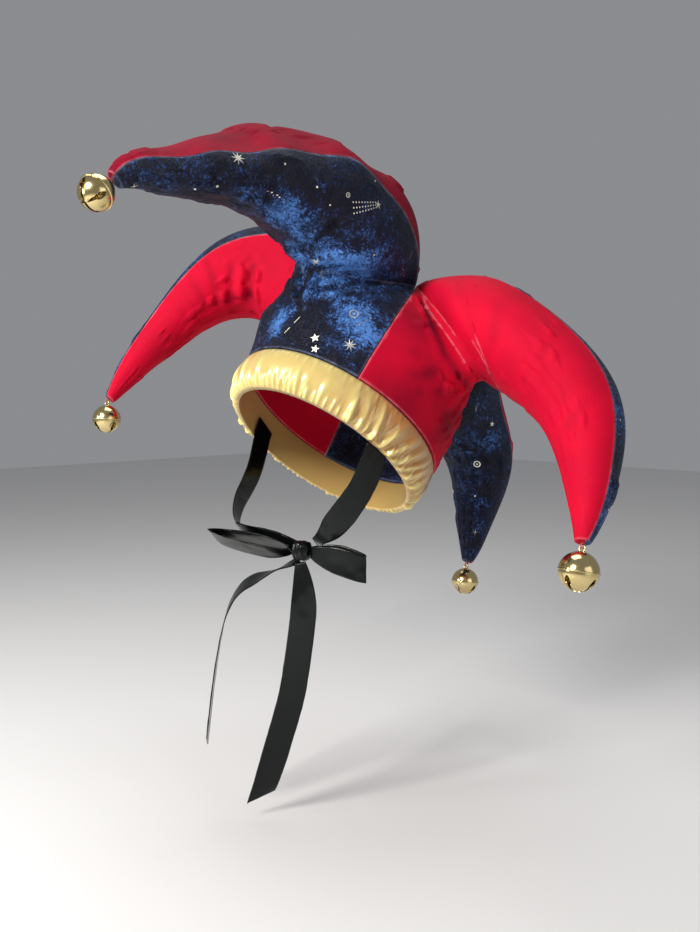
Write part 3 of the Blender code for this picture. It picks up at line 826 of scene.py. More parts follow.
@dataclass(frozen=True)
class SeamRelief:
    """How stuffed velvet rises from its seams: pushes and reaches in millimetres, the bend in metres."""

    groove: float = 0.25
    groove_reach: float = 3.5
    puff_reach: float = 9.0
    pucker_start: float = 2.5
    pucker_reach: float = 11.0
    long_share: float = 0.22
    long_reach: float = 34.0
    swell: float = 0.9
    swell_reach: float = 15.0
    dimple: float = 0.35
    dimple_reach: float = 6.0
    bend: float = 0.006
    ridge_top: float = 0.55
    ridge_depth: float = 1.5
    fine_depth: float = 0.7
    ridge_reach: float = 4.0


SEAM = SeamRelief()


@dataclass
class VelvetPanel:
    """One velvet panel with its wadding: puffed, puckered along its seams and creased.

    Pushes and reaches are in millimetres, and how far a neighbour counts is in metres.
    """

    node: str
    finish: Velvet
    pucker: float = 0.9
    wave: float = 9.0
    puff: float = 1.5
    base_nap: float = 0.0
    crumple: float = 0.25
    mottle: float = 0.07
    creases: tuple[Crease, ...] = ()
    zones: tuple[NapZone, ...] = ()
    ridge_nap: float = 0.10
    crease_nap: float = 0.055
    lint: float = 0.55
    lint_reach: float = 0.9
    neighbour_reach: float = 0.006
    skin: float = 0.00008
    tip_calm: float = 0.22
    tip_reach: float = 75.0
    obj: bpy.types.Object | None = field(default=None, repr=False)

    def build(self, nodes: Nodes, others: BVHTree, material: bpy.types.Material) -> None:
        """Make the panel from its CAD node.

        Args:
            nodes: The CAD nodes by name.
            others: A search tree of every velvet node and the band.
            material: The velvet.
        """
        self.obj = node_copy(nodes[self.node], "velvet_" + self.node)
        mesh = self.obj.data
        places = SHIFTS.moved(coords_of(mesh))
        set_coords(mesh, places)
        normals = normals_of(mesh)
        away, along = self.seam_distance(mesh, places)
        free = self.free_share(places, normals, others)
        push, ridges = self.relief(places, away, along)
        tree = surface_tree((places, mesh))
        folds = np.zeros(len(places))
        for crease in self.creases:
            folds += self.crease_relief(crease, tree, places)
        # painted shade in the creases and crumple valleys, painted light on their ridges and shoulders
        self.paint_nap(mesh, places, tree, self.crumple * self.ridge_nap * ridges + self.crease_nap * folds)
        # painted highlight: a pale line along each seam, broken in places by noise
        ragged = np.clip(0.6 + 0.5 * Noise.LINT.at(places), 0.0, 1.0)
        store_value(mesh, "fuzz", self.lint * ragged * np.exp(-(away / self.lint_reach) ** 2))
        set_coords(mesh, places + normals * ((push + folds) * free * MM)[:, None])
        finish_piece(self.obj, self.finish.slot, material, self.node)

    @staticmethod
    def seam_distance(mesh: bpy.types.Mesh, places: np.ndarray) -> tuple[np.ndarray, np.ndarray]:
        """How far each vertex lies from a seam, and where along the seam.

        Args:
            mesh: The divided mesh, with its sharp edges marked.
            places: Its vertex places.

        Returns:
            Distance to the nearest seam, and place along it, in millimetres.
        """
        sharpness = mesh.attributes["crease_edge"].data
        neighbours: dict[int, list[int]] = {}
        for edge in mesh.edges:
            if sharpness[edge.index].value > 0.5:
                first, second = edge.vertices
                neighbours.setdefault(first, []).append(second)
                neighbours.setdefault(second, []).append(first)
        length: dict[int, float] = {}
        for start in sorted(neighbours, key=lambda vertex: (len(neighbours[vertex]) != 1, vertex)):
            if start in length:
                continue
            length[start] = 0.0
            queue = [start]
            while queue:
                here = queue.pop()
                for after in neighbours[here]:
                    if after not in length:
                        length[after] = length[here] + float(np.linalg.norm(places[after] - places[here]))
                        queue.append(after)
        numbers = sorted(length)
        search = KDTree(len(numbers))
        for k, number in enumerate(numbers):
            search.insert(places[number], k)
        search.balance()
        away, along = np.empty(len(places)), np.empty(len(places))
        for number, place in enumerate(places):
            _, index, away[number] = search.find(place)
            along[number] = length[numbers[index]]
        return away / MM, along / MM

    def free_share(self, places: np.ndarray, normals: np.ndarray, others: BVHTree) -> np.ndarray:
        """Which vertices lie on the outside, where nothing is close in front of them.

        Args:
            places: The vertex places.
            normals: The vertex normals.
            others: A search tree of the CAD solids.

        Returns:
            1 on the outside, 0 on faces that meet a neighbour or the hollow.
        """
        axis = np.array((0.0, math.sin(BAND_TILT), math.cos(BAND_TILT)))
        height = places @ axis
        radial = places - np.outer(height, axis)
        radius = np.linalg.norm(radial, axis=1)
        inward = np.einsum("ij,ij->i", normals, radial / np.maximum(radius, 1e-6)[:, None])
        faces_in = (inward < 0.2) | (normals @ axis < -0.5)
        hollow = (height < HOLLOW_TOP) & (radius < HOLLOW_RADIUS) & faces_in
        free = np.where(hollow, 0.0, 1.0)
        for number in np.flatnonzero(~hollow):
            way = Vector(normals[number])
            distance = others.ray_cast(Vector(places[number]) + way * self.skin, way, self.neighbour_reach)[3]
            if distance is not None:
                free[number] = smooth_step(distance / self.neighbour_reach - 0.25)
        return free

    def relief(self, places: np.ndarray, away: np.ndarray, along: np.ndarray
               ) -> tuple[np.ndarray, np.ndarray]:
        """Puff, seam groove, puckers and crumpling in millimetres outwards.

        Args:
            places: The vertex places.
            away: Distance to the nearest seam in millimetres.
            along: Place along that seam in millimetres.

        Returns:
            The push for each vertex, and the crumpling alone from about -1 to 1.
        """
        drift = Noise.DRIFT.at(places) * 1.3
        strength = 0.55 + 0.45 * Noise.STRENGTH.at(places)
        phase = along / self.wave * 2.0 * math.pi + drift * 2.0
        ripple = np.cos(phase) + 0.45 * np.cos(phase * 0.53 + 1.7)
        fade = np.exp(-away / SEAM.pucker_reach) + SEAM.long_share * np.exp(-away / SEAM.long_reach)
        push = self.pucker * ripple * (rise(away, SEAM.pucker_start) * fade) * strength
        groove = SEAM.groove * np.exp(-((away / SEAM.groove_reach) ** 2))
        push += self.puff * rise(away, SEAM.puff_reach) - groove
        push += SEAM.swell * Noise.SWELL.at(places) * rise(away, SEAM.swell_reach)
        push += SEAM.dimple * Noise.DIMPLE.at(places) * rise(away, SEAM.dimple_reach)
        bends = [noise.at(places) for noise in (Noise.BEND_X, Noise.BEND_Y, Noise.BEND_Z)]
        bent = places + SEAM.bend * np.stack(bends, axis=1)
        ridges = SEAM.ridge_top - SEAM.ridge_depth * np.abs(Noise.RIDGE.at(bent))
        ridges = (ridges - SEAM.fine_depth * np.abs(Noise.FINE_RIDGE.at(bent))) * rise(away, SEAM.ridge_reach)
        tips = SHIFTS.moved(np.array([middle_of("thread_" + horn) for horn in HORNS]))
        nearest = np.min(np.linalg.norm(places[:, None, :] - tips[None, :, :], axis=2), axis=1) / MM
        calm = self.tip_calm + (1.0 - self.tip_calm) * smooth_step(nearest / self.tip_reach)
        return (push + self.crumple * ridges) * calm, ridges

    @staticmethod
    def crease_relief(crease: Crease, tree: BVHTree, places: np.ndarray) -> np.ndarray:
        """The groove and the soft shoulders of one fold.

        Args:
            crease: The fold.
            tree: The panel's own search tree.
            places: The vertex places.

        Returns:
            The push for each vertex in millimetres.
        """
        spots = [VIEW.spot(tree, pixel)[0] for pixel in crease.pixels]
        line = [np.array(spot) for spot in spots if spot is not None]
        if len(line) < 2:
            LOG.warning("a fold near %s misses its panel", crease.pixels[0])
            return np.zeros(len(places))
        best = np.full(len(places), np.inf)
        ends = np.zeros(len(places))
        total = sum(np.linalg.norm(b - a) for a, b in zip(line, line[1:]))
        passed = 0.0
        for first, second in zip(line, line[1:]):
            step = second - first
            length = np.linalg.norm(step)
            share = np.clip(((places - first) @ step) / length ** 2, 0.0, 1.0)
            gap = np.linalg.norm(places - first - share[:, None] * step, axis=1)
            ends = np.where(gap < best, (passed + share * length) / total, ends)
            best = np.minimum(gap, best)
            passed += length
        taper = smooth_step(ends / 0.14 + 0.15) * smooth_step((1.0 - ends) / 0.14 + 0.15)
        off = best / MM / crease.half
        return crease.depth * taper * (-np.exp(-off ** 2) + 0.55 * np.exp(-(off - 2.1) ** 2))

    def paint_nap(self, mesh: bpy.types.Mesh, places: np.ndarray, tree: BVHTree, extra: np.ndarray) -> None:
        """Store how light the pile looks at each vertex: the lie of the pile, with painted light and shade
        from the zones, the creases and the crumpling.

        Args:
            mesh: The panel's mesh.
            places: The vertex places.
            tree: Its search tree.
            extra: Painted shade in the creases and crumple valleys, and painted light on their ridges and
                shoulders.
        """
        nap = self.base_nap + extra
        nap += self.mottle * (Noise.MOTTLE.at(places) + 0.6 * Noise.FINE_MOTTLE.at(places))
        ragged = 1.0 + 0.35 * Noise.RAGGED.at(places)
        # zones of positive strength add painted light and those of negative strength painted shade, together
        # with the lie of the pile
        for zone in self.zones:
            spot, _ = VIEW.spot(tree, zone.pixel)
            if spot is None:
                LOG.warning("a nap zone at %s misses %s", zone.pixel, self.node)
                continue
            gap = np.linalg.norm(places - np.array(spot), axis=1) / MM * ragged
            nap += zone.strength * np.exp(-((gap / zone.radius) ** 2))
        store_value(mesh, "nap", nap)


FRONT_CREASES = (
    Crease(((288, 290), (330, 289), (372, 283), (408, 281)), 3.2, 3.4),
    Crease(((312, 270), (300, 296), (298, 334)), 4.2, 3.0),
    Crease(((314, 242), (332, 226), (352, 207)), 3.6, 3.0),
    Crease(((262, 210), (272, 188), (279, 162)), 3.0, 2.8),
    Crease(((264, 200), (268, 172), (272, 148)), 2.2, 2.4),
    Crease(((232, 200), (244, 178), (250, 158)), 1.8, 2.6),
    Crease(((304, 270), (340, 266), (392, 250)), 2.2, 3.0),
    Crease(((300, 308), (330, 300), (362, 306)), 2.0, 2.8),
    Crease(((284, 226), (306, 214), (330, 190)), 2.2, 2.8),
    Crease(((330, 318), (356, 334), (380, 330)), 1.6, 2.8),
    Crease(((196, 196), (206, 184), (220, 172)), 1.6, 2.4),
)
# Zones of painted light and painted shade, with the lie of the pile, at given pixels
FRONT_ZONES = (
    NapZone((284, 214), 19, 0.40), NapZone((306, 226), 16, 0.26), NapZone((300, 256), 16, 0.30),
    NapZone((332, 262), 25, 0.38), NapZone((372, 268), 24, 0.26), NapZone((402, 290), 14, 0.22),
    NapZone((278, 322), 15, 0.58), NapZone((352, 318), 23, 0.44), NapZone((376, 340), 17, 0.32),
    NapZone((250, 192), 9, 0.24), NapZone((312, 318), 15, -0.36), NapZone((333, 225), 9, -0.30),
    NapZone((335, 361), 8, -0.28), NapZone((290, 165), 32, -0.10),
)
LEFT_CREASES = (
    Crease(((420, 296), (432, 325), (444, 353), (458, 375), (470, 388)), 4.6, 4.2),
    Crease(((562, 328), (544, 352), (522, 386)), 2.2, 3.2),
    Crease(((604, 372), (588, 400), (566, 430)), 1.6, 4.0),
    Crease(((500, 300), (494, 335), (492, 380)), 1.6, 5.0),
    Crease(((380, 400), (408, 376), (440, 372)), 2.0, 5.0),
)
LEFT_ZONES = (
    NapZone((448, 425), 28, -0.34), NapZone((420, 325), 22, -0.26), NapZone((405, 410), 34, -0.28),
    NapZone((398, 362), 16, 0.12), NapZone((436, 372), 18, -0.16), NapZone((480, 330), 34, 0.12),
    NapZone((590, 430), 40, 0.06),
)
RIGHT_CREASES = (
    Crease(((248, 230), (254, 262), (250, 300), (247, 318)), 5.0, 4.6),
    Crease(((227, 238), (232, 264), (229, 304)), 3.6, 4.2),
    Crease(((205, 258), (213, 280), (218, 308)), 3.0, 3.8),
    Crease(((187, 273), (198, 292), (208, 308)), 2.4, 3.6),
    Crease(((166, 294), (178, 308), (188, 322)), 1.8, 3.2),
    Crease(((148, 318), (156, 332), (168, 342)), 1.4, 3.0),
)
RIGHT_ZONES = (NapZone((248, 300), 14, -0.18), NapZone((226, 300), 16, -0.12), NapZone((150, 350), 26, -0.06))
BACK_CREASES = (
    Crease(((448, 432), (466, 446), (486, 450)), 1.8, 3.4),
    Crease(((455, 500), (470, 508), (486, 512)), 1.4, 3.0),
)
BACK_ZONES = (NapZone((488, 440), 14, 0.16), NapZone((480, 500), 12, 0.14))
PANELS = (
    VelvetPanel("front_under", BLUE_VELVET, pucker=1.3, wave=11.0, base_nap=-0.30, crumple=1.8, mottle=0.10,
                creases=FRONT_CREASES, zones=FRONT_ZONES),
    VelvetPanel("left_under", RED_VELVET, wave=14.0, puff=1.6, base_nap=0.46, crumple=0.1,
                creases=LEFT_CREASES, zones=LEFT_ZONES),
    VelvetPanel("right_under", RED_VELVET, pucker=1.0, wave=15.0, puff=1.4, base_nap=0.48, crumple=0.12,
                creases=RIGHT_CREASES, zones=RIGHT_ZONES),
    VelvetPanel("back_under", BLUE_VELVET, pucker=1.0, wave=11.0, base_nap=-0.30, crumple=1.1, mottle=0.16,
                creases=BACK_CREASES, zones=BACK_ZONES),
    # the red top panels get a low nap: painted shade on their upper side, turned from the key light
    VelvetPanel("front_top", RED_VELVET, pucker=0.8, wave=15.0, base_nap=0.10),
    VelvetPanel("back_top", RED_VELVET, pucker=0.8, wave=15.0, base_nap=0.25),
    VelvetPanel("left_top", BLUE_VELVET, wave=12.0, base_nap=-0.20, crumple=1.1, mottle=0.24),
    VelvetPanel("right_top", BLUE_VELVET, wave=12.0, base_nap=-0.32, crumple=1.1, mottle=0.24),
)


@dataclass(frozen=True)
class Print:
    """One figure of the foil print: kind, pixel, radius in millimetres and turn in degrees."""

    kind: Mark
    pixel: tuple[float, float]
    radius: float
    turn: float = 0.0


@dataclass
class FoilPrint:
    """Silver foil figures laid on one blue panel.

    What is seen already has its figures. Elsewhere they are strewn, with a least gap between them,
    a least distance from the origin that keeps them out of the hollow, and a least free space before
    them, all in metres.
    """

    panel: VelvetPanel
    prints: tuple[Print, ...]
    scatter: int
    seed: int
    tries: int = 6000
    gap: float = 0.017
    inner: float = 0.112
    space: float = 0.012
    skin: float = 0.0004
    lift: float = 0.00028

    def build(self, material: bpy.types.Material) -> None:
        """Lay the figures on the panel as one thin mesh.

        Args:
            material: The foil.
        """
        mesh = self.panel.obj.data
        tree = surface_tree((coords_of(mesh), mesh))
        bm = bmesh.new()
        taken: list[Vector] = []
        for item in self.prints:
            place, normal = VIEW.spot(tree, item.pixel)
            if place is None:
                LOG.warning("a figure at %s misses %s", item.pixel, self.panel.node)
                continue
            turn = math.radians(item.turn)
            up = VIEW.turn() @ Vector((-math.sin(turn), math.cos(turn), 0.0))
            self.lay(bm, tree, item.kind, place, normal, up, item.radius * MM)
            taken.append(place)
        self.scatter_rest(bm, tree, mesh, taken)
        name = "foil_" + self.panel.node
        sheet = bpy.data.meshes.new(name)
        bm.to_mesh(sheet)
        bm.free()
        finish_piece(new_object(name, sheet), Slot.BLUE, material)

    def scatter_rest(self, bm: bmesh.types.BMesh, tree: BVHTree, mesh: bpy.types.Mesh,
                     taken: list[Vector]) -> None:
        """Carry the print on over the sides that the photograph doesn't show.

        Args:
            bm: The mesh being made.
            tree: The panel's search tree.
            mesh: The panel's mesh.
            taken: Places that have a figure already.
        """
        dice = random.Random(self.seed)
        kinds = (Mark.DOT, Mark.DOT, Mark.DOT, Mark.STAR_FIVE, Mark.STAR_EIGHT, Mark.CROSS, Mark.TRAIL,
                 Mark.RING)
        sizes = {Mark.DOT: 0.8, Mark.STAR_FIVE: 4.0, Mark.STAR_EIGHT: 6.0, Mark.CROSS: 4.5, Mark.TRAIL: 10.0,
                 Mark.RING: 4.2}
        faces = list(mesh.polygons)
        camera = VIEW.away() * VIEW.distance
        left = self.scatter
        for _ in range(self.tries):
            if left == 0:
                break
            face = faces[dice.randrange(len(faces))]
            place, normal = face.center, face.normal
            seen = self.prints and normal.dot((camera - place).normalized()) > 0.05
            if seen or any((place - other).length < self.gap for other in taken):
                continue
            if place.length < self.inner or self.is_covered(place, normal):
                continue
            kind = kinds[dice.randrange(len(kinds))]
            up = normal.orthogonal()
            up.rotate(Matrix.Rotation(dice.uniform(0.0, 6.28), 3, normal))
            self.lay(bm, tree, kind, place, normal, up, sizes[kind] * dice.uniform(0.8, 1.15) * MM)
            taken.append(place.copy())
            left -= 1

    def is_covered(self, place: Vector, normal: Vector) -> bool:
        """Whether another panel lies close in front of a place."""
        graph = bpy.context.evaluated_depsgraph_get()
        return bpy.context.scene.ray_cast(graph, place + normal * self.skin, normal, distance=self.space)[0]

    def lay(self, bm: bmesh.types.BMesh, tree: BVHTree, kind: Mark, place: Vector, normal: Vector, up: Vector,
            radius: float) -> None:
        """Put one figure on the surface.

        Args:
            bm: The mesh being made.
            tree: The panel's search tree.
            kind: Which figure.
            place: Its middle on the surface.
            normal: The way out of the surface there.
            up: Which way the figure stands.
            radius: Its size in metres.
        """
        across = up.cross(normal).normalized()
        raised = normal.cross(across).normalized()
        for outline in figure_outlines(kind):
            verts = []
            for x, y in outline:
                flat = place + across * (x * radius) + raised * (y * radius)
                spot, way, _, _ = tree.find_nearest(flat)
                verts.append(bm.verts.new(spot + way * self.lift))
            face = bm.faces.new(verts)
            face.normal_update()
            if face.normal.dot(normal) < 0.0:
                face.normal_flip()



def spoke(middle: tuple[float, float], length: float, angle: float) -> tuple[float, float]:
    """A point at a distance and an angle from a middle, clockwise from upwards."""
    return middle[0] + length * math.sin(angle), middle[1] + length * math.cos(angle)


def polygon(sides: int, size: float = 1.0, middle: tuple[float, float] = (0.0, 0.0)) -> Outline:
    """An even polygon with a corner at its top."""
    return [spoke(middle, size, 2.0 * math.pi * k / sides) for k in range(sides)]


def star(points: int, inner: float, size: float = 1.0, middle: tuple[float, float] = (0.0, 0.0)
         ) -> list[Outline]:
    """The rays of a star, each a kite from its middle.

    Args:
        points: How many rays.
        inner: Share of the size at which the rays meet.
        size: Length of a ray.
        middle: The star's middle.

    Returns:
        The kites.
    """
    step = math.pi / points
    return [[middle, spoke(middle, size * inner, 2.0 * step * k - step), spoke(middle, size, 2.0 * step * k),
             spoke(middle, size * inner, 2.0 * step * k + step)] for k in range(points)]


def ring_figure() -> list[Outline]:
    """A ring with a small star in it.

    Returns:
        The ring's quads and the star's rays.
    """
    outer, inner = polygon(14), polygon(14, 0.76)
    following = outer[1:] + outer[:1], inner[1:] + inner[:1]
    return [list(quad) for quad in zip(outer, following[0], following[1], inner)] + star(6, 0.35, 0.42)


def comet_figure() -> list[Outline]:
    """A small star with a tail of three rows of dots that spread away from it.

    Returns:
        The star's rays and the dots.
    """
    dots = [polygon(6, 0.048, ((row - 1) * (0.13 + 0.020 * k), 0.19 * (8 - k) - 0.95))
            for row in range(3) for k in range(9)]
    return star(5, 0.32, 0.26, (0.0, 0.78)) + dots


def figure_outlines(kind: Mark) -> list[Outline]:
    """The flat polygons of a figure of radius 1.

    Args:
        kind: Which figure.

    Returns:
        Outlines, each a list of points.
    """
    if kind is Mark.STAR_EIGHT:
        return star(8, 0.30)
    if kind is Mark.STAR_FIVE:
        return star(5, 0.42)
    if kind is Mark.CROSS:
        return star(4, 0.16) + [polygon(6, 0.16)]
    if kind is Mark.DOT:
        return [polygon(6)]
    if kind is Mark.RING:
        return ring_figure()
    if kind is Mark.DASH:
        return [[(-0.05, -1.0), (0.05, -1.0), (0.03, 1.0), (-0.03, 1.0)]]
    if kind is Mark.TRAIL:
        return [polygon(6, 0.085 - 0.004 * k, (0.10 * math.sin(k * 2.4), -1.0 + 0.29 * k)) for k in range(8)]
    return comet_figure()


FRONT_PRINTS = (
    Print(Mark.STAR_EIGHT, (238, 158), 6.6), Print(Mark.STAR_EIGHT, (350, 345), 6.4, 8.0),
    Print(Mark.CROSS, (134, 186), 3.8, 30.0), Print(Mark.COMET, (368, 206), 17.0, -82.0),
    Print(Mark.TRAIL, (270, 192), 11.0, 32.0), Print(Mark.CROSS, (316, 262), 5.4, 45.0),
    Print(Mark.CROSS, (316, 262), 4.4, 12.0), Print(Mark.DASH, (307, 276), 5.0, 30.0),
    Print(Mark.RING, (354, 314), 4.6), Print(Mark.TRAIL, (364, 322), 8.0, -55.0),
    Print(Mark.STAR_FIVE, (315, 338), 4.4, 10.0), Print(Mark.STAR_FIVE, (315, 349), 4.0, -12.0),
    Print(Mark.DASH, (292, 325), 10.0, -45.0), Print(Mark.DASH, (395, 316), 3.0, 20.0),
    Print(Mark.TRAIL, (403, 270), 9.0, 40.0), Print(Mark.DASH, (411, 255), 4.0, 10.0),
    Print(Mark.DOT, (195, 189), 1.1), Print(Mark.DOT, (217, 186), 1.4),
    Print(Mark.DOT, (285, 164), 1.1), Print(Mark.DOT, (317, 187), 1.1),
    Print(Mark.DOT, (375, 181), 1.1), Print(Mark.RING, (348, 195), 2.2),
    Print(Mark.DOT, (330, 205), 0.9), Print(Mark.DOT, (374, 255), 0.9),
)
BACK_PRINTS = (
    Print(Mark.DASH, (476, 408), 3.4, 20.0), Print(Mark.STAR_FIVE, (492, 424), 3.2),
    Print(Mark.RING, (477, 464), 4.0), Print(Mark.STAR_FIVE, (453, 491), 3.2),
    Print(Mark.DOT, (475, 496), 1.1), Print(Mark.CROSS, (475, 532), 4.0),
)
LEFT_PRINTS = (Print(Mark.DOT, (608, 510), 1.2), Print(Mark.DOT, (620, 420), 1.0))
# For each printed panel its figures, how many more are strewn, and the seed
PRINTED = {"front_under": (FRONT_PRINTS, 26, 5), "back_under": (BACK_PRINTS, 22, 8),
           "left_top": (LEFT_PRINTS, 34, 11), "right_top": ((), 34, 12)}


@dataclass(frozen=True)
class Bunch:
    """A deeper fold of the band: its angle, lean and width in degrees and its size in millimetres."""

    angle: float
    lean: float
    width: float
    size: float


BUNCHES = (
    Bunch(57.0, -3.0, 2.6, 1.6), Bunch(66.0, -5.0, 2.4, 2.2), Bunch(73.5, -3.0, 1.9, 4.2),
    Bunch(80.0, 8.0, 2.2, 2.4), Bunch(87.0, 12.0, 2.0, 3.0), Bunch(94.0, 14.0, 2.3, 2.6),
    Bunch(101.0, 16.0, 2.0, 3.2), Bunch(109.0, 12.0, 2.6, 2.4), Bunch(118.0, 8.0, 3.0, 2.0),
    Bunch(-66.0, 4.0, 2.4, 2.2), Bunch(-74.0, 3.0, 2.0, 3.4), Bunch(-88.0, -10.0, 2.2, 2.6),
    Bunch(-101.0, -12.0, 2.2, 2.6), Bunch(150.0, 5.0, 3.0, 2.0), Bunch(-140.0, -5.0, 3.0, 2.2),
)


@dataclass
class GatheredBand:
    """The satin band: a soft tube of cloth, gathered on elastic below and puckered at its top seam.

    Sizes are in millimetres.
    """

    half_width: float = 82.0
    half_length: float = 99.0
    height: float = 38.0
    flare: float = 9.0
    thickness: float = 5.0
    settle: float = 0.9
    columns: int = 900
    rows: int = 26
    folds: int = 104
    puckers: int = 120
    seed: int = 11

    def build(self, material: bpy.types.Material) -> None:
        """Make the band.

        Args:
            material: The satin.
        """
        angle = np.arange(self.columns) * 2.0 * math.pi / self.columns
        share = np.linspace(0.0, 1.0, self.rows)
        relief = self.relief(angle, share)
        roundness = np.sin(math.pi * np.clip(share * 0.94 + 0.05, 0.0, 1.0)) ** 0.62
        profile = self.thickness * (0.45 + 1.45 * roundness)
        swell = 1.0 + 0.22 * np.clip(np.cos(angle), 0.0, 1.0)
        bm = bmesh.new()
        outer, inner = [], []
        for k, here in enumerate(share):
            arch = math.sin(math.pi * here)
            level = here * self.height - 0.3 * here
            sag = -1.2 * arch - 0.55 * relief[:, 0] * (1.0 - here) ** 3
            outer.append(self.ring(bm, angle, self.flare * here + profile[k] * swell + relief[:, k],
                                   level + sag * (here < 0.999)))
            inner.append(self.ring(bm, angle, self.flare * here + 0.15 + 0.4 * arch, level))
        loop = outer + inner[::-1]
        for first, second in zip(loop, loop[1:] + loop[:1]):
            for k in range(self.columns):
                after = (k + 1) % self.columns
                bm.faces.new((first[k], first[after], second[after], second[k]))
        bmesh.ops.recalc_face_normals(bm, faces=bm.faces)
        mesh = bpy.data.meshes.new("gathered_band")
        bm.to_mesh(mesh)
        bm.free()
        # the satin's colour follows this painted light and shade value
        store_value(mesh, "fold", self.light(angle, share, relief))
        obj = new_object("gathered_band", mesh)
        select_only(obj)
        bpy.ops.object.shade_smooth()
        finish_piece(obj, Slot.GOLD, material, "band")

    def light(self, angle: np.ndarray, share: np.ndarray, relief: np.ndarray) -> np.ndarray:
        """Painted light and shade for the satin: painted highlights on its folds and towards its top, painted
        shade in the valleys, towards the elastic and at the near side.

        Args:
            angle: Angles round the opening.
            share: Shares of the band's height.
            relief: The folds, one row for each angle.

        Returns:
            For each row of points first the outside's values and then the inside's, which are an even painted
            shade.
        """
        height = np.clip((relief + self.settle) / 3.2, 0.0, 1.0)
        # painted shade on the side turned from the key light
        painted_side_shade = 0.50 * smooth_step((np.cos(angle - math.radians(100.0)) - 0.55) / 0.4)
        painted_band_light = 0.16 + 0.95 * height + 0.22 * share - painted_side_shade[:, None] - 0.10 * (1.0 - share) ** 3
        return np.stack([painted_band_light.T, np.full((self.rows, self.columns), 0.15)], axis=1)

    def ring(self, bm: bmesh.types.BMesh, angle: np.ndarray, out: np.ndarray | float, up: np.ndarray | float
             ) -> list[bmesh.types.BMVert]:
        """One row of points round the opening.

        Args:
            bm: The mesh being made.
            angle: Angles round the opening.
            out: How far outside it, in millimetres.
            up: How high, in millimetres.

        Returns:
            The row's vertices.
        """
        x = (self.half_width + out) * np.sin(angle)
        y = -(self.half_length + out) * np.cos(angle)
        back = y * math.cos(BAND_TILT) + up * math.sin(BAND_TILT)
        height = -y * math.sin(BAND_TILT) + up * math.cos(BAND_TILT)
        return [bm.verts.new((a * MM, b * MM, c * MM)) for a, b, c in zip(x, back, height)]

    @staticmethod
    def off(angle: np.ndarray, middle: float, lean: np.ndarray | float = 0.0) -> np.ndarray:
        """How far each angle is from a fold's middle, the short way round."""
        return (angle[:, None] - middle - lean + math.pi) % (2.0 * math.pi) - math.pi

    def relief(self, angle: np.ndarray, share: np.ndarray) -> np.ndarray:
        """Folds that rise from the elastic and puckers that hang from the seam, in millimetres.

        Args:
            angle: Angles round the opening.
            share: Shares of the band's height.

        Returns:
            A table of pushes, one row for each angle.
        """
        dice = random.Random(self.seed)
        total = np.zeros((len(angle), len(share)))
        for number in range(self.folds):
            middle = (number + dice.uniform(-0.35, 0.35)) * 2.0 * math.pi / self.folds
            reach = dice.uniform(0.70, 1.05) if number % 4 == 0 else dice.uniform(0.28, 0.62)
            width = dice.uniform(0.012, 0.018)
            lean = dice.uniform(-0.05, 0.05)
            size = dice.uniform(1.9, 4.4)
            fade = smooth_step((reach - share) / reach) * (0.5 + 0.5 * smooth_step(share / 0.10))
            wide = width * (1.0 + 1.2 * share)
            total += size * fade * np.exp(-(self.off(angle, middle, lean * share) / wide) ** 2)
        down = 1.0 - share
        for number in range(self.puckers):
            middle = (number + dice.uniform(-0.4, 0.4)) * 2.0 * math.pi / self.puckers
            reach = dice.uniform(0.15, 0.5)
            width = dice.uniform(0.010, 0.018)
            size = dice.uniform(0.3, 0.9)
            fade = smooth_step((reach - down) / reach) * (0.25 + 0.75 * smooth_step(down / 0.08))
            total += size * fade * np.exp(-(self.off(angle, middle) / width) ** 2)
        for bunch in BUNCHES:
            width = math.radians(bunch.width)
            off = self.off(angle, math.radians(bunch.angle), math.radians(bunch.lean) * share)
            near = np.abs(off) < 2.2 * width
            total += bunch.size * (1.0 - share * share) * (np.exp(-(off / width) ** 2) - 0.25) * near
        return total - self.settle


@dataclass
class RibbonPiece:
    """A strap, tail or bow loop of black satin ribbon: its flat size in metres, which is not used, and its
    ripple in millimetres.
    """

    node: str
    flat: tuple[float, float]
    held: str
    ripple: float = 0.45
    front: tuple[float, float, float] = (0.31, -0.90, 0.29)

    def build(self, nodes: Nodes, material: bpy.types.Material) -> None:
        """Make the ribbon from its CAD node, its two faces rippled together.

        Args:
            nodes: The CAD nodes by name.
            material: The satin.
        """
        obj = node_copy(nodes[self.node], "satin_" + self.node)
        places, way = coords_of(obj.data), normals_of(obj.data)
        way *= np.where(way @ np.array(self.front) < 0.0, -1.0, 1.0)[:, None]
        push = self.ripple * (Noise.RIPPLE.at(places) + 0.5 * Noise.FINE_RIPPLE.at(places))
        set_coords(obj.data, places + way * (push * MM)[:, None])
        finish_piece(obj, Slot.BLACK, material, self.node)


RIBBONS = (
    RibbonPiece("strap_left", (0.025, 0.12), "hung"), RibbonPiece("strap_right", (0.025, 0.175), "hung"),
    RibbonPiece("tail_front", (0.025, 0.25), "hung"), RibbonPiece("tail_back", (0.025, 0.22), "hung"),
    RibbonPiece("bow_left", (0.025, 0.13), "folded"), RibbonPiece("bow_right", (0.025, 0.19), "folded"),
)


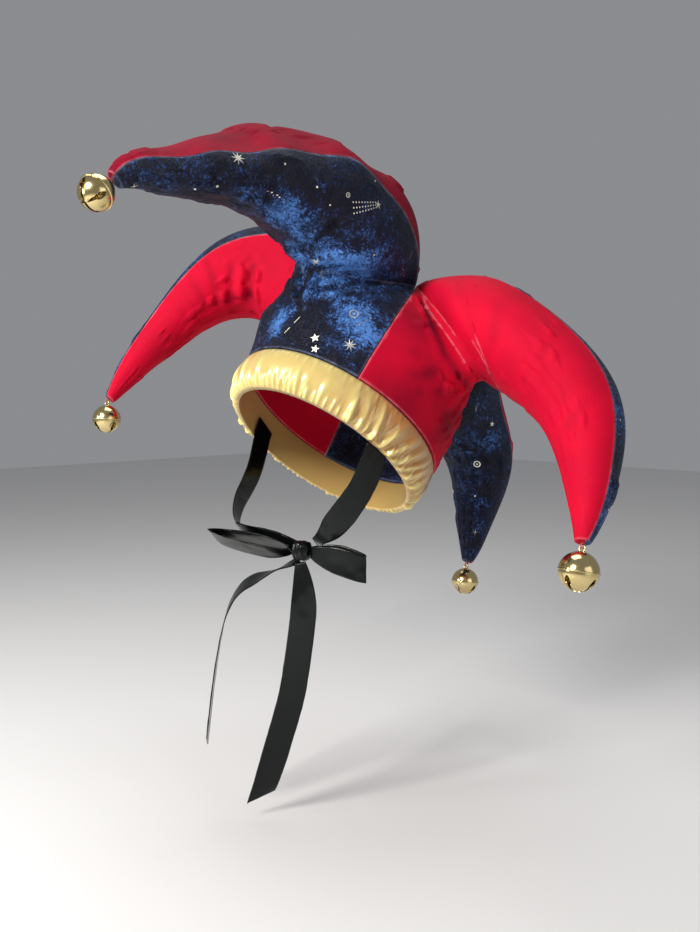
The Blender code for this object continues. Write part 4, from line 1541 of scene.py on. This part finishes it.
@dataclass
class BowKnot:
    """The knot of the bow, with soft pleats and wrinkles. Pushes are in millimetres."""

    node: str = "bow_knot"
    pleat: float = 0.45
    wrinkle: float = 0.35

    def build(self, nodes: Nodes, material: bpy.types.Material) -> None:
        """Make the knot.

        Args:
            nodes: The CAD nodes by name.
            material: The satin.
        """
        obj = node_copy(nodes[self.node], "satin_bow_knot", sharp=80.0)
        places, normals = coords_of(obj.data), normals_of(obj.data)
        local = (places - places.mean(axis=0)) / MM
        phase = local[:, 0] * 1.15 + 0.35 * np.sin(local[:, 2] * 0.5)
        push = self.pleat * np.cos(phase) + self.wrinkle * Noise.WRINKLE.at(places)
        set_coords(obj.data, places + normals * (push * MM)[:, None])
        finish_piece(obj, Slot.BLACK, material, self.node)


def thread_axis(nodes: Nodes, node: str) -> Vector:
    """The axis of a thread ring.

    Args:
        nodes: The CAD nodes by name.
        node: The ring's name.

    Returns:
        The direction in which the ring is thinnest.
    """
    spread = coords_of(nodes[node].data) - np.array(middle_of(node))
    return Vector(np.linalg.svd(spread, full_matrices=False)[2][-1])


@dataclass
class JingleBell:
    """A pressed brass bell: two cups joined at a rim, four petals below, a loop above.

    Sizes are in millimetres. Share is its size beside a full one's, and the slots' arms and depth and
    the ball's size and depth are shares of its radius.
    """

    horn: str
    share: float
    radius: float = 15.5
    wall: float = 1.0
    rim: float = 0.7
    slot: float = 2.6
    hole: float = 2.6
    loop: float = 2.6
    loop_wire: float = 0.7
    gap: float = 0.3
    arm_share: float = 0.80
    slot_drop: float = 1.15
    hole_top: float = 0.11
    ball_share: float = 0.26
    ball_drop: float = 0.66
    flatter: float = 1.04
    squash: float = 0.985

    def build(self, nodes: Nodes, material: bpy.types.Material) -> None:
        """Make the bell where its CAD node hangs.

        Args:
            nodes: The CAD nodes by name.
            material: The brass.
        """
        size = self.radius * self.share * MM
        shell = self.shell(size)
        self.cut(shell, size)
        loop_height = size + (self.loop - self.loop_wire) * MM
        rim = add_ring(size, self.rim * MM, (64, 10), (0.0, 0.0, 0.0))
        loop = add_ring(self.loop * MM, self.loop_wire * MM, (32, 12), (0.0, 0.0, loop_height),
                        (math.pi / 2.0, 0.0, 0.0))
        obj = join_parts("brass_bell_" + self.horn, shell, rim, loop, self.ball(size))
        self.hang(obj, nodes, size)
        bpy.ops.object.shade_smooth_by_angle(angle=math.radians(40.0))
        finish_piece(obj, Slot.BRASS, material, "bell_" + self.horn)

    def shell(self, size: float) -> bpy.types.Object:
        """The hollow round body, a little flatter at its poles.

        Args:
            size: Its radius in metres.

        Returns:
            The shell.
        """
        bpy.ops.mesh.primitive_uv_sphere_add(segments=48, ring_count=24, radius=size)
        obj = bpy.context.object
        places = coords_of(obj.data)
        height = places[:, 2] / size
        places[:, 2] = np.sign(height) * np.abs(height) ** self.flatter * size * self.squash
        set_coords(obj.data, places)
        apply_modifier(obj, "SOLIDIFY", thickness=self.wall * MM, offset=-1.0)
        return obj

    def cut(self, obj: bpy.types.Object, size: float) -> None:
        """Cut the crossed slots and the round hole at the end of each.

        Args:
            obj: The shell.
            size: Its radius in metres.
        """
        arm = size * self.arm_share
        width = self.slot * MM / 2.0
        cutters = []
        for half in ((arm, width, size), (width, arm, size)):
            bpy.ops.mesh.primitive_cube_add(size=2.0, location=(0.0, 0.0, -size * self.slot_drop))
            bpy.context.object.scale = half
            cutters.append(bpy.context.object)
        for k in range(4):
            turn = math.pi * k / 2.0
            bpy.ops.mesh.primitive_cylinder_add(
                vertices=20, radius=self.hole * MM, depth=size,
                location=(arm * math.cos(turn), arm * math.sin(turn), -self.hole_top * size - size / 2.0))
            cutters.append(bpy.context.object)
        for cutter in cutters:
            apply_place(cutter)
            apply_modifier(obj, "BOOLEAN", object=cutter, operation="DIFFERENCE", solver="EXACT")
            bpy.data.objects.remove(cutter, do_unlink=True)

    def ball(self, size: float) -> bpy.types.Object:
        """The loose steel ball that rings inside, resting on the petals."""
        bpy.ops.mesh.primitive_ico_sphere_add(subdivisions=3, radius=size * self.ball_share,
                                              location=(0.0, 0.0, -size * self.ball_drop))
        return bpy.context.object

    def hang(self, obj: bpy.types.Object, nodes: Nodes, size: float) -> None:
        """Put the bell where its CAD node is.

        Args:
            obj: The bell, round the origin.
            nodes: The CAD nodes by name.
            size: Its radius in metres.
        """
        thread = "thread_" + self.horn
        top = middle_of(thread)
        middle = Vector(coords_of(nodes["bell_" + self.horn].data).mean(axis=0))
        down = (middle - top).normalized()
        reach = size + (2.0 * self.loop - self.loop_wire - self.gap) * MM
        axis = thread_axis(nodes, thread)
        z_axis = -down
        x_axis = (axis - z_axis * axis.dot(z_axis)).normalized()
        turn = Matrix((x_axis, z_axis.cross(x_axis), z_axis)).transposed().to_4x4()
        follow = SHIFTS.moved_point(top) - top
        obj.data.transform(Matrix.Translation(top + follow + down * reach) @ turn)
        obj.data.update()


@dataclass
class BellThread:
    """Three turns of sewing thread that hold a bell to its horn.

    Sizes are in millimetres, and each turn has its lift in millimetres and its tip in degrees.
    """

    horn: str
    radius: float = 2.25
    strand: float = 0.34
    turns: tuple[tuple[float, float], ...] = ((-0.32, 4.0), (0.0, -3.0), (0.32, 2.0))

    def build(self, nodes: Nodes, material: bpy.types.Material) -> None:
        """Make the thread rings where the CAD ring is.

        Args:
            nodes: The CAD nodes by name.
            material: The thread.
        """
        node = "thread_" + self.horn
        parts = [add_ring(self.radius * MM, self.strand * MM, (28, 8), (0.0, 0.0, lift * MM),
                          (math.radians(tip), math.radians(-tip), 0.0)) for lift, tip in self.turns]
        obj = join_parts("wound_" + node, *parts)
        turn = thread_axis(nodes, node).to_track_quat("Z", "Y").to_matrix().to_4x4()
        obj.data.transform(Matrix.Translation(SHIFTS.moved_point(middle_of(node))) @ turn)
        bpy.ops.object.shade_smooth()
        finish_piece(obj, Slot.THREAD, material, node)


@dataclass(frozen=True)
class SoftLight:
    """A square soft light: its place in metres towards the camera, to the right and up, and its side."""

    name: str
    away: float
    right: float
    up: float
    power: float
    size: float
    colour: Colour

    def build(self) -> None:
        """Add the light, facing the hat."""
        data = bpy.data.lights.new(self.name, "AREA")
        data.energy = self.power
        data.size = self.size
        data.color = self.colour
        place = VIEW.away() * self.away + Vector(VIEW.right()) * self.right + UP * self.up
        light = new_object(self.name, data)
        light.location = place
        light.rotation_euler = place.to_track_quat("Z", "Y").to_euler()


@dataclass
class Studio:
    """Pale floor, soft lights and the camera."""

    floor_height: float = -0.36
    floor_size: float = 8.0
    floor_colour: Colour = (0.78, 0.77, 0.76)
    air_colour: Colour = (0.86, 0.88, 0.92)
    air_strength: float = 0.30
    lights: tuple[SoftLight, ...] = (
        SoftLight("key", 1.1, -0.95, 0.75, 30.0, 0.45, (1.0, 0.98, 0.95)),
        SoftLight("fill", 1.2, 1.1, 0.15, 4.0, 1.0, (0.94, 0.96, 1.0)),
        SoftLight("top", -0.3, 0.0, 1.5, 9.0, 0.9, (1.0, 1.0, 1.0)),
        SoftLight("strip", 0.5, -1.3, 0.2, 7.0, 0.35, (1.0, 1.0, 1.0)),
    )

    def build(self) -> None:
        """Set up the camera, the floor and the lights."""
        VIEW.make_camera()
        bpy.context.scene.view_settings.view_transform = "Standard"
        deselect_all()
        bpy.ops.mesh.primitive_plane_add(size=self.floor_size, location=(0.0, 0.0, self.floor_height))
        floor = bpy.context.object
        floor.name = "pale_floor"
        apply_place(floor)
        paint = bpy.data.materials.new("pale_floor")
        paint.use_nodes = True
        set_node(paint.node_tree.nodes["Principled BSDF"],
                 {"Base Color": (*self.floor_colour, 1.0), "Roughness": 0.8})
        floor.data.materials.append(paint)
        world = bpy.data.worlds.new("studio_air")
        world.use_nodes = True
        set_node(world.node_tree.nodes["Background"],
                 {"Color": (*self.air_colour, 1.0), "Strength": self.air_strength})
        bpy.context.scene.world = world
        for light in self.lights:
            light.build()


@dataclass
class JesterHat:
    """The whole dressed hat."""

    nodes: Nodes
    bell_shares: tuple[float, ...] = (0.95, 1.06, 0.95, 0.95)

    def build(self) -> None:
        """Build every piece."""
        pile_group()
        weave_group()
        velvet = {finish.slot: finish.make() for finish in (BLUE_VELVET, RED_VELVET)}
        gold, black, brass, thread, foil = (f.make() for f in (GOLD_SATIN, BLACK_SATIN, BRASS, THREAD, FOIL))
        cloth = [node.data for name, node in self.nodes.items() if name.endswith(("_under", "_top", "band"))]
        solids = surface_tree(*((SHIFTS.moved(coords_of(mesh)), mesh) for mesh in cloth))
        for panel in PANELS:
            panel.build(self.nodes, solids, velvet[panel.finish.slot])
        for panel in PANELS:
            if panel.node in PRINTED:
                FoilPrint(panel, *PRINTED[panel.node]).build(foil)
        GatheredBand().build(gold)
        for ribbon in (*RIBBONS, BowKnot()):
            ribbon.build(self.nodes, black)
        for horn, share in zip(HORNS, self.bell_shares):
            JingleBell(horn, share).build(self.nodes, brass)
            BellThread(horn).build(self.nodes, thread)


def main() -> None:
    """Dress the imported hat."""
    logging.basicConfig(level=logging.INFO, format="%(message)s")
    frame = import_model()
    deselect_all()
    Studio().build()
    JesterHat(frame["nodes"]).build()


if __name__ == "__main__":
    main()
